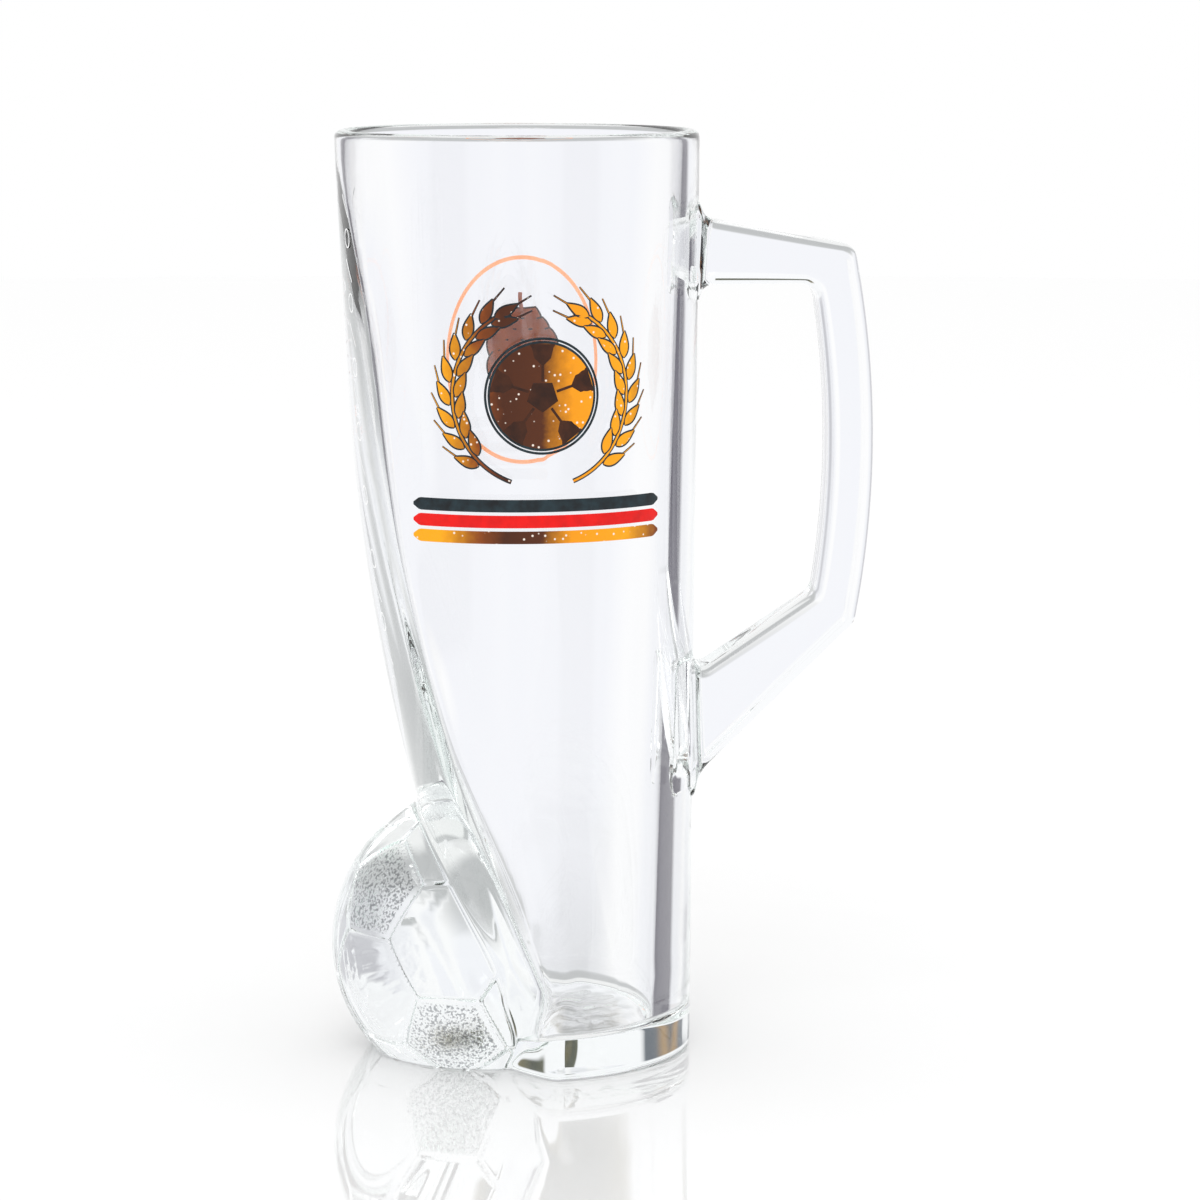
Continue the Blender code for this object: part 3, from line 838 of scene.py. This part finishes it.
@dataclass
class Inks:
    """The enamels of both prints."""

    amber: bpy.types.Material
    brown: bpy.types.Material
    black: bpy.types.Material
    red: bpy.types.Material
    copper: bpy.types.Material
    russet: bpy.types.Material

    @classmethod
    def mix(cls) -> "Inks":
        """Mix every enamel."""
        return cls(LustreEnamel("amber_lustre_enamel", "F7A512", "E87C06").material(),
                   Enamel("brown_enamel", "43200D", "2E1509").material(),
                   Enamel("black_enamel", "22333A", "15191D").material(),
                   Enamel("red_enamel", "EA0E0A", "D40A08").material(),
                   Enamel("copper_lustre_enamel", "FFCFA6", "F6B27E", roughness=0.5, mottle_mm=9.0,
                          seen_through=0.45, lit_from_behind=0.34).material(),
                   Enamel("russet_enamel", "C86A36", "9A4420", roughness=0.5, mottle_mm=6.0,
                          seen_through=0.3, lit_from_behind=0.2).material())


@dataclass
class PrintSheet:
    """One side's print, laid out flat in millimetres (across, up) and wrapped round the body's wall."""

    side: Side
    body: MugBody
    middle_height: float = 150.0
    lift: float = 0.03
    ink: float = 0.09
    edge_points: int = 7
    doming: float = 0.8
    line_drop: float = 0.015
    disc_rings: tuple[tuple[float, float], ...] = (
        (1.0, 0.0), (1.0, 0.25), (0.985, 0.8), (0.94, 1.0), (0.8, 1.0), (0.6, 1.0), (0.4, 1.0), (0.2, 1.0))

    def wrap(self, across: Array, up: Array, lift: Array) -> Array:
        """Points on the wall: the distance across becomes an arc, and the lift moves out from the glass."""
        z = self.middle_height + up
        radius = self.body.wall_radius(z)
        turn = self.side.value + across / radius
        return np.stack([(radius + lift) * np.cos(turn), (radius + lift) * np.sin(turn), z], axis=-1)

    def bands(self, path: Array, half_width: Array | float, layer: float = 0.0,
              closed: bool = False) -> "InkMesh":
        """Bands of ink along paths, of thickness ink (1 - doming t^4) for t from -1 to 1 across the band.

        Args:
            path: Points (across, up) of shape (bands, stations, 2).
            half_width: One half width, or some of a shape that fits (bands, stations).
            layer: Extra lift, for ink that is printed over other ink.
            closed: Whether each path runs round to its start.

        Returns:
            The closed meshes of all the bands.
        """
        if closed:
            ahead = np.roll(path, -1, axis=1) - np.roll(path, 1, axis=1)
        else:
            ahead = np.gradient(path, axis=1)
        ahead = ahead / np.linalg.norm(ahead, axis=-1, keepdims=True)
        left = np.stack([-ahead[..., 1], ahead[..., 0]], axis=-1)
        top = np.linspace(-1.0, 1.0, self.edge_points)
        across = np.concatenate([top, [1.0, -1.0]])
        height = np.concatenate([self.ink * (1.0 - self.doming * top**4), [0.0, 0.0]]) + self.lift + layer
        width = np.broadcast_to(half_width, path.shape[:2])
        flat = path[:, :, None, :] + left[:, :, None, :] * (width[:, :, None] * across)[..., None]
        spots = self.wrap(flat[..., 0], flat[..., 1], np.broadcast_to(height, flat.shape[:-1]))
        bands, stations, ring = spots.shape[:3]
        numbers = np.arange(bands * stations * ring).reshape(bands, stations, ring)
        follow = np.roll(numbers, -1, axis=1) if closed else numbers[:, 1:]
        here = numbers if closed else numbers[:, :-1]
        faces = ring_faces(follow, here).reshape(-1, 4).tolist()
        if not closed:
            faces += numbers[:, 0].tolist() + numbers[:, -1, ::-1].tolist()
        return InkMesh(spots.reshape(-1, 3), faces)

    def leaves(self, start: Array, aim: Array, leaf: Array, length: float, line: float,
               layer: float) -> tuple["InkMesh", "InkMesh"]:
        """Pointed leaves: straight bands from a foot along a direction, each with a line along its outline.

        Args:
            start: Feet of the leaves (across, up).
            aim: Their unit directions.
            leaf: Half widths at equal steps from foot to tip.
            length: Their length.
            line: Half width of the lines.
            layer: Extra lift of the leaves; the lines start a little lower.

        Returns:
            The closed meshes of the leaves, and of the lines.
        """
        run = np.linspace(0.0, length, len(leaf))[None, :, None]
        middle = start[:, None, :] + aim[:, None, :] * run
        aside = np.stack([-aim[:, 1], aim[:, 0]], axis=-1)[:, None, :] * (leaf + 0.5 * line)[None, :, None]
        edge = np.concatenate([middle + aside, (middle - aside)[:, ::-1]], axis=1)
        lines = self.bands(edge, line, layer - self.line_drop, closed=True)
        return self.bands(middle, leaf[None], layer), lines

    def disc(self, radius: Array, layer: float = 0.0) -> "InkMesh":
        """A filled outline about the sheet's middle: rings from the glass at its edge up and in to the middle.

        Args:
            radius: Distance of the outline from the middle, for equal steps of angle.
            layer: Extra lift, for ink that is printed over other ink.

        Returns:
            The closed mesh.
        """
        share, height = np.array(self.disc_rings).T[:, :, None]
        flat = (share * radius)[..., None] * aims(full_turn(len(radius)))
        lift = np.broadcast_to(height * self.ink + self.lift + layer, flat.shape[:-1])
        spots = self.wrap(flat[..., 0], flat[..., 1], lift)
        rings, count = spots.shape[:2]
        numbers = np.arange(rings * count).reshape(rings, count)
        faces = ring_faces(numbers[:-1], numbers[1:]).reshape(-1, 4).tolist()
        faces += [numbers[-1].tolist(), numbers[0][::-1].tolist()]
        return InkMesh(spots.reshape(-1, 3), faces)


@dataclass
class InkMesh:
    """Points and faces of some ink, before it becomes a piece."""

    spots: Array = field(default_factory=lambda: np.zeros((0, 3)))
    faces: list[list[int]] = field(default_factory=list)

    def __add__(self, other: "InkMesh") -> "InkMesh":
        """Both meshes as one."""
        start = len(self.spots)
        moved = [[number + start for number in face] for face in other.faces]
        return InkMesh(np.concatenate([self.spots, other.spots]), self.faces + moved)

    def piece(self, name: str, ink: bpy.types.Material, slot: str, *nodes: str) -> None:
        """Make the piece, ride it on the mug and hide the CAD nodes that it stands for.

        Args:
            name: Name of the piece.
            ink: Its material.
            slot: The record's slot of its finish; not used.
            nodes: CAD nodes that it replaces.
        """
        piece = new_piece(name, self.spots, self.faces)
        piece.data.materials.append(ink)
        piece.data.set_sharp_from_angle(angle=SHARP_ANGLE)
        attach(piece, "root")
        if nodes:
            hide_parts(*nodes)
        LOG.info("%s: %d faces", name, len(self.faces))


@dataclass
class SideMarks(PrintSheet):
    """Raised marks of the mould on the slanted side, too fine for the body's mesh: rings and slashes."""

    slanted: SlantedSide = field(default_factory=SlantedSide)
    lift: float = 0.01
    ink: float = 0.1
    edge_points: int = 5
    low: float = 84.0
    high: float = 190.0
    pitch: float = 7.0
    column: float = 13.0
    ring_half_width: float = 1.5
    ring_half_height: float = 2.0
    slash_half_width: float = 1.6
    slash_half_height: float = 2.4
    line_half_width: float = 0.16

    def wrap(self, across: Array, up: Array, lift: Array) -> Array:
        """Points on the slanted side's arcs: x = centre - sqrt(bow^2 - y^2), less the lift."""
        bow = self.slanted.bow(up)
        x = bow - self.slanted.offset(up) - np.sqrt(bow**2 - across**2) - lift
        return np.stack([x, across, up], axis=-1)

    def build(self, glass: bpy.types.Material) -> None:
        """Lay out both columns, a ring and a slash by turns, and make the piece."""
        heights = np.arange(self.low, self.high, self.pitch)
        ring = np.array([self.ring_half_width, self.ring_half_height]) * aims(full_turn(28))
        slash = np.array([self.slash_half_width, self.slash_half_height]) * np.linspace(-1.0, 1.0, 12)[:, None]
        marks = InkMesh()
        for column in (-self.column, self.column):
            centres = np.stack([np.full_like(heights, column), heights], axis=-1)[:, None, :]
            marks += self.bands(centres[0::2] + ring, self.line_half_width, closed=True)
            marks += self.bands(centres[1::2] + slash, self.line_half_width)
        marks.piece("side_marks", glass, "pressed_glass")


@dataclass
class BarleyEar:
    """A barley ear that curves round the roundel: a stem, two rows of grains, one at the tip, and awns."""

    mirror: float
    path_radius: float = 19.5
    sweep: float = 125.0
    pairs: int = 8
    grain_length: float = 5.6
    grain_half_width: float = 1.05
    grain_lean: float = 24.0
    grain_side: float = 0.75
    awn_length: float = 4.6
    awn_half_width: float = 0.14
    awn_start: float = 0.8
    awn_turn: float = 0.6
    awn_taper: float = 0.6
    awn_edge: float = 0.7
    stem_half_width: float = 0.32
    stem_share: tuple[float, float] = (-0.06, 0.98)
    grain_share: tuple[float, float] = (0.12, 0.9)
    pair_shift: float = 0.04
    tip_share: float = 0.97
    stations: int = 14
    grain_layer: float = 0.05
    awn_layer: float = 0.03
    stem_layer: float = 0.02

    def spine(self, share: Array) -> tuple[Array, Array]:
        """Points of the ear's arc and the angle that it runs at, from the foot (0) to the tip (1)."""
        turn = math.radians(180.0 + self.sweep / 2.0) - math.radians(self.sweep) * share
        return self.path_radius * aims(turn), turn - math.pi / 2.0

    def grains(self) -> tuple[Array, Array, Array]:
        """Feet, headings and leans of the grains: pairs that lean out by turns, and the one at the tip."""
        share = np.linspace(*self.grain_share, self.pairs)
        spots, heading = self.spine(np.concatenate([share, share + self.pair_shift, [self.tip_share]]))
        side = np.concatenate([np.ones(self.pairs), -np.ones(self.pairs), [0.0]])
        lean = math.radians(self.grain_lean) * side
        outward = np.stack([-np.sin(heading), np.cos(heading)], axis=-1) * side[:, None]
        return spots + self.grain_side * outward, heading + lean, lean

    def build(self, sheet: PrintSheet, line: float) -> tuple[InkMesh, InkMesh]:
        """Build the ear's ink and its dark edges. A grain's half width is w sin(pi s^0.75) + 0.05.

        Args:
            sheet: The print that it belongs to.
            line: Half width of the dark line round each grain.

        Returns:
            The closed meshes of the ink, and of the dark edges.
        """
        flip = np.array([self.mirror, 1.0])
        start, heading, lean = self.grains()
        aim = aims(heading)
        share = np.linspace(0.0, 1.0, self.stations)
        leaf = self.grain_half_width * np.sin(math.pi * share**0.75) + 0.05
        ink, dark = sheet.leaves(start * flip, aim * flip, leaf, self.grain_length, line, self.grain_layer)
        run = np.linspace(0.0, self.awn_length, self.stations)[None, :, None]
        feet = start + self.awn_start * self.grain_length * aim
        awns = (feet[:, None, :] + run * aims(heading - self.awn_turn * lean)[:, None, :]) * flip
        awn = self.awn_half_width * (1.0 - self.awn_taper * share)[None]
        stem = self.spine(np.linspace(*self.stem_share, 40))[0][None] * flip
        ink += sheet.bands(awns, awn, self.awn_layer) + sheet.bands(stem, self.stem_half_width, self.stem_layer)
        dark += sheet.bands(awns, awn + self.awn_edge * line) + sheet.bands(stem, self.stem_half_width + line)
        return ink, dark


@dataclass
class FrontPrint:
    """The front print: a roundel with football panels between two barley ears, over three stripes."""

    roundel_radius: float = 11.3
    ring_radius: float = 12.25
    ring_half_width: float = 0.27
    edge: float = 0.3
    ear_edge: float = 0.2
    patch_radius: float = 3.5
    seam_radius: float = 6.6
    rim_patch_half_width: float = 2.7
    seam_half_width: float = 0.3
    stripe_length: float = 58.0
    stripe_half_width: float = 1.35
    stripe_step: float = 3.4
    stripe_drop: float = 23.5
    roundel_layer: float = 0.02
    panel_layer: float = 0.08
    overlap: float = 0.3

    def football_panels(self, sheet: PrintSheet) -> InkMesh:
        """Five-sided middle panel, five seams and five panels cut off by the roundel's edge."""
        fifth = 2.0 * math.pi / 5.0
        corner = (full_turn(80) - math.pi / 2.0 + fifth / 2.0) % fifth - fifth / 2.0
        ink = sheet.disc(self.patch_radius * math.cos(fifth / 2.0) / np.cos(corner), self.panel_layer)
        aim = aims(math.pi / 2.0 + fifth * np.arange(5))[:, None, :]
        run = np.linspace(self.patch_radius - self.overlap, self.seam_radius + self.overlap, 8)[None, :, None]
        ink += sheet.bands(aim * run, self.seam_half_width, self.panel_layer)
        run = np.linspace(self.seam_radius, self.roundel_radius - 0.25, 10)
        width = np.interp(run, [run[0], run[3], run[-1]], [0.25, 1.9, self.rim_patch_half_width])
        return ink + sheet.bands(aim * run[None, :, None], width[None], self.panel_layer)

    def stripe(self, sheet: PrintSheet, row: int) -> InkMesh:
        """One straight stripe, with ends drawn to a short point."""
        run = np.linspace(-0.5, 0.5, 90)
        up = -self.stripe_drop - self.stripe_step * row
        path = np.stack([run * self.stripe_length, np.full_like(run, up)], axis=-1)
        taper = np.minimum(1.0, (0.5 - np.abs(run)) * self.stripe_length / 2.0 + 0.25)
        return sheet.bands(path[None], (self.stripe_half_width * taper)[None])

    def build(self, sheet: PrintSheet, inks: Inks) -> None:
        """Print every colour of the front, and put each piece in its node's place.

        Args:
            sheet: The front print's sheet.
            inks: The enamels.
        """
        disc = sheet.disc(np.full(96, self.roundel_radius), self.roundel_layer)
        radii = np.array([self.ring_radius, self.roundel_radius + 0.5 * self.edge])
        rings = radii[:, None, None] * aims(full_turn(120))[None]
        dark = sheet.bands(rings, np.array([[self.ring_half_width], [self.edge]]), closed=True)
        disc.piece("print_roundel_ink", inks.amber, "amber_enamel", "print_roundel")
        self.football_panels(sheet).piece("print_roundel_panels", inks.brown, "brown_enamel")
        for name, mirror in (("left", 1.0), ("right", -1.0)):
            ear, edges = BarleyEar(mirror).build(sheet, self.ear_edge)
            dark += edges
            ear.piece(f"print_{name}_ear_ink", inks.amber, "brown_enamel", f"print_{name}_ear")
        dark.piece("print_dark_edges", inks.black, "black_enamel")
        for row, (name, ink) in enumerate((("black", inks.black), ("red", inks.red), ("gold", inks.amber))):
            stripe = self.stripe(sheet, row)
            stripe.piece(f"print_{name}_stripe_ink", ink, f"{name}_enamel", f"print_{name}_stripe")


@dataclass
class BackPrint:
    """The back print: a hop cone inside an oval line."""

    half_width: float = 19.5
    half_height: float = 23.5
    line_half_width: float = 0.45
    cone_half_height: float = 13.0
    bracts: tuple[int, ...] = (1, 2, 3, 4, 3, 4, 3, 2)
    bract_step: float = 3.5
    bract_length: float = 7.6
    bract_half_width: float = 2.6
    edge_half_width: float = 0.2
    stalk_half_width: float = 0.5
    fan: float = 3.2
    first_layer: float = 0.02
    layer_step: float = 0.013
    stations: int = 16

    def cone(self, sheet: PrintSheet) -> tuple[InkMesh, InkMesh]:
        """Rows of pointed bracts that overlap like roof tiles, each set between the next, and a short stalk.

        Args:
            sheet: The print that it belongs to.

        Returns:
            The closed meshes of the bracts and stalk, and of the lines round the bracts.
        """
        share = np.linspace(0.0, 1.0, self.stations)
        leaf = self.bract_half_width * np.sin(math.pi * (0.15 + 0.85 * share)) ** 0.8 + 0.08
        stalk = np.stack([0.6 * np.sin(share * 2.0), self.cone_half_height - 2.0 + 4.5 * share], axis=-1)
        ink = sheet.bands(stalk[None], self.stalk_half_width, self.first_layer)
        lines = InkMesh()
        rise = (2.0 * self.cone_half_height - self.bract_length - 1.0) / (len(self.bracts) - 1)
        for row, count in enumerate(self.bracts):
            across = self.bract_step * (np.arange(count) - 0.5 * (count - 1))
            up = np.full_like(across, self.bract_length - self.cone_half_height + rise * row)
            aim = aims(np.radians(-90.0 + self.fan * across))
            scales, edges = sheet.leaves(np.stack([across, up], axis=-1), aim, leaf, self.bract_length,
                                         self.edge_half_width, self.first_layer + self.layer_step * row)
            ink += scales
            lines += edges
        return ink, lines

    def build(self, sheet: PrintSheet, inks: Inks) -> None:
        """Print the oval line and the cone, each in its node's place.

        Args:
            sheet: The back print's sheet.
            inks: The enamels.
        """
        oval = np.array([self.half_width, self.half_height]) * aims(full_turn(160))[None]
        line = sheet.bands(oval, self.line_half_width, closed=True)
        line.piece("back_print_ring_ink", inks.copper, "gold_enamel", "back_print_ring")
        cone, edges = self.cone(sheet)
        cone.piece("back_print_hop_ink", inks.russet, "brown_enamel", "back_print_hop")
        edges.piece("back_print_hop_edges", inks.brown, "brown_enamel")


@dataclass
class Studio:
    """A white studio: a pale floor, one soft lamp, the camera, and a surround that is staged for the glass.

    Pairs of numbers are where a change in the surround starts and ends: as a share of the turn from a panel's
    middle to the corner between two panels, or as the height (or the Y) of a unit direction.
    """

    azimuth: float = -4.0
    elevation: float = 8.25
    distance: float = 0.966
    aim_height: float = 0.1004
    lens: float = 129.87
    sensor: float = 36.0
    bounces: int = 40
    glossy_bounces: int = 24
    floor_radius: float = 2.5
    floor_gap: float = 0.2
    floor_colour: str = "FDFDFD"
    floor_roughness: float = 0.02
    floor_ior: float = 1.8
    floor_gloss: tuple[float, float] = (0.23, 0.08)
    lamp_size: float = 0.9
    lamp_power: float = 4.0
    lamp_place: tuple[float, float, float] = (-0.2, -1.1, 1.3)
    lamp_aim: tuple[float, float, float] = (0.0, 0.0, 0.1)
    panel_colour: str = "FBFCFE"
    panel_foot: tuple[float, float] = (0.0, 0.07)
    surround: tuple[tuple[float, str], ...] = (
        (0.0, "F5F6FB"), (0.12, "F5F6FB"), (0.2, "FEFEFF"), (0.32, "FEFEFF"), (0.44, "F5F6FA"),
        (0.66, "ECEDF2"), (1.0, "ECEDF2"))
    flag_colour: str = "565260"
    flag_edge: tuple[float, float] = (0.66, 0.77)
    flag_share_direct: float = 0.35
    flag_crossings: float = 3.5
    flag_bounces: float = 1.5
    low_lift: float = 0.12
    low_edge: tuple[float, float] = (-0.1, -0.22)
    table_colour: str = "BCBEBF"
    table_edge: tuple[float, float] = (-0.36, -0.46)
    table_rise: float = 0.15
    table_behind: tuple[float, float] = (0.88, 0.955)
    under_colour: str = "F1F2F2"
    under_edge: tuple[float, float] = (-0.56, -0.66)
    props: tuple[tuple[float, str], ...] = (
        (0.0, "FBFCFE"), (0.001, "FBFCFE"), (0.003, "5A5C48"), (0.015, "44483C"), (0.033, "7A7250"),
        (0.042, "FBFCFE"), (0.81, "FBFCFE"), (0.82, "3A3E44"), (0.85, "3A3E44"), (0.865, "A9854F"),
        (0.88, "565E68"), (0.895, "565E68"), (0.9, "FBFCFE"), (1.0, "FBFCFE"))
    prop_foot: tuple[float, float] = (0.2, 0.24)
    prop_top: tuple[float, float] = (0.36, 0.32)

    def back(self) -> Vector:
        """Direction from the object to the camera."""
        turn, lift = math.radians(self.azimuth), math.radians(self.elevation)
        return Vector((math.sin(turn) * math.cos(lift), -math.cos(turn) * math.cos(lift), math.sin(lift)))

    def camera(self) -> None:
        """Put the camera at the photograph's place."""
        data = bpy.data.cameras.new("camera")
        data.lens = self.lens
        data.sensor_width = self.sensor
        camera = bpy.data.objects.new("camera", data)
        camera.location = Vector((0.0, 0.0, self.aim_height)) + self.back() * self.distance
        camera.rotation_euler = (-self.back()).to_track_quat("-Z", "Y").to_euler()
        bpy.context.scene.collection.objects.link(camera)
        bpy.context.scene.camera = camera

    def world(self) -> None:
        """Light the scene from a white world, and stage what is seen through the glass.

        Only rays that have passed through glass see anything but white: a pale panel behind the mug in each
        of the four square views, dark flags between the panels, the table's grey lower down, and a few dark
        props in a narrow band that only the thick foot bends rays up to. A ray sees a flag fully if it has
        crossed one thickness of glass and was reflected as well, faintly if it was only bent, and not at all
        after more glass, so that the flags draw the edges of the glass and leave its middle clear.
        """
        world = bpy.data.worlds.new("studio")
        bpy.context.scene.world = world
        node = partial(add_node, empty_tree(world))
        x, y, z = node("SeparateXYZ", {0: node("TexCoord").outputs["Generated"]}).outputs
        turn = node("Math", {0: x, 1: y}, operation="ARCTAN2")
        turn = node("Math", {0: turn, 1: 4.0 * math.pi + math.radians(self.azimuth)}, operation="ADD")
        fold = node("Math", {0: turn, 1: math.pi / 4.0}, operation="PINGPONG")
        share = node("Math", {0: fold, 1: math.pi / 4.0}, operation="DIVIDE")
        whole = node("Math", {0: turn, 1: 2.0 * math.pi}, operation="MODULO")
        whole = node("Math", {0: whole, 1: 2.0 * math.pi}, operation="DIVIDE")
        path = node("LightPath").outputs
        through = node("Math", {0: path["Transmission Depth"], 1: 0.5}, operation="GREATER_THAN")
        single = node("Math", {0: path["Transmission Depth"], 1: self.flag_crossings}, operation="LESS_THAN")
        other = node("Math", {0: path["Ray Depth"], 1: path["Transmission Depth"]}, operation="SUBTRACT")
        mirrored = node("Math", {0: other, 1: self.flag_bounces}, operation="GREATER_THAN")
        # Straight changes: what is mapped, from where to where, and to what.
        straight = [(mirrored, (0.0, 1.0), (self.flag_share_direct, 1.0)), (share, self.flag_edge, (0.0, 1.0)),
                    (z, self.low_edge, (0.0, self.low_lift)), (y, self.table_behind, (0.0, -self.table_rise))]
        weight, edge, low, behind = [
            node("MapRange", {"Value": value, "From Min": a, "From Max": b, "To Min": c, "To Max": d})
            for value, (a, b), (c, d) in straight]
        depth = node("Math", {0: z, 1: behind}, operation="ADD")
        eased = [(z, self.panel_foot), (depth, self.table_edge), (z, self.under_edge), (z, self.prop_foot),
                 (z, self.prop_top)]
        above, table_share, under, rise, fall = [
            node("MapRange", {"Value": value, "From Min": a, "From Max": b}, interpolation_type="SMOOTHSTEP")
            for value, (a, b) in eased]
        flag = node("Math", {0: edge, 1: single}, operation="MULTIPLY")
        flag = node("Math", {0: flag, 1: weight}, operation="MULTIPLY")
        high = node("Math", {0: rise, 1: fall}, operation="MULTIPLY")
        panel, near, far = [linear(code) for code in (self.panel_colour, self.table_colour, self.under_colour)]
        table = node("Mix", {"Factor": under, MIX_A: near, MIX_B: far}, data_type="RGBA")
        seen = node("ValToRGB", {"Fac": share}, self.surround)
        props = node("ValToRGB", {"Fac": whole}, self.props)
        for factor, colour in ((flag, linear(self.flag_colour)), (low, panel), (above, panel),
                               (table_share, table), (high, props)):
            seen = node("Mix", {"Factor": factor, MIX_A: seen, MIX_B: colour}, data_type="RGBA")
        seen = node("Mix", {"Factor": through, MIX_A: (1.0, 1.0, 1.0, 1.0), MIX_B: seen}, data_type="RGBA")
        node("OutputWorld", {"Surface": node("Background", {"Color": seen, "Strength": 1.0})})

    def floor(self) -> None:
        """Lay a pale floor, glossy round the mug, a disc that the glass itself doesn't see."""
        rim = aims(full_turn(96)) * self.floor_radius / MM
        spots = np.column_stack([rim, np.full(len(rim), -self.floor_gap)])
        floor = new_piece("floor", spots, [list(range(len(rim)))], smooth=False)
        material = bpy.data.materials.new("white_acrylic_sheet")
        node = partial(add_node, empty_tree(material))
        place = node("TexCoord").outputs["Object"]
        far = node("VectorMath", {0: place, 1: (AXIS_X * MM, 0.0, 0.0)}, operation="DISTANCE")
        low, high = self.floor_gloss
        gloss = node("MapRange", {"Value": far, "From Min": low, "From Max": high},
                     interpolation_type="SMOOTHSTEP")
        shader = node("BsdfPrincipled", {
            "Base Color": linear(self.floor_colour), "Roughness": self.floor_roughness, "IOR": self.floor_ior,
            "Specular IOR Level": gloss})
        node("OutputMaterial", {"Surface": shader})
        floor.data.materials.append(material)
        floor.visible_transmission = False

    def lamps(self) -> None:
        """Hang one large soft lamp, above and to the left of the camera."""
        data = bpy.data.lights.new("softbox", "AREA")
        data.shape = "DISK"
        data.size = self.lamp_size
        data.energy = self.lamp_power
        lamp = bpy.data.objects.new("softbox", data)
        lamp.location = self.lamp_place
        lamp.rotation_euler = (Vector(self.lamp_aim) - lamp.location).to_track_quat("-Z", "Y").to_euler()
        bpy.context.scene.collection.objects.link(lamp)

    def build(self) -> None:
        """Set up the whole studio."""
        scene = bpy.context.scene
        scene.view_settings.view_transform = "Standard"
        # Light crosses and bounces inside thick glass many times before it leaves.
        scene.cycles.max_bounces = self.bounces
        scene.cycles.transmission_bounces = self.bounces
        scene.cycles.glossy_bounces = self.glossy_bounces
        self.camera()
        self.world()
        self.floor()
        self.lamps()


def build_glass() -> None:
    """Build the fused glass piece and dress it."""
    body = MugBody()
    mug = body.build(SlantedSide(), Football())
    unite(mug, Handle().build(body))
    PressedGlass().dress(mug)
    mug.data.set_sharp_from_angle(angle=SHARP_ANGLE)
    even = mug.modifiers.new("even_shading", "WEIGHTED_NORMAL")
    even.keep_sharp = True
    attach(mug, "root")
    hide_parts("glass_body", "football", "handle")
    LOG.info("%s: %d faces", mug.name, len(mug.data.polygons))
    SideMarks(Side.FRONT, body).build(mug.data.materials[0])


def build_prints() -> None:
    """Print both sides."""
    inks = Inks.mix()
    body = MugBody()
    FrontPrint().build(PrintSheet(Side.FRONT, body), inks)
    BackPrint().build(PrintSheet(Side.BACK, body), inks)


def main() -> None:
    """Build the studio, the glass and the prints."""
    logging.basicConfig(level=logging.INFO, format="%(name)s: %(message)s")
    Studio().build()
    build_glass()
    build_prints()


if __name__ == "__main__":
    main()
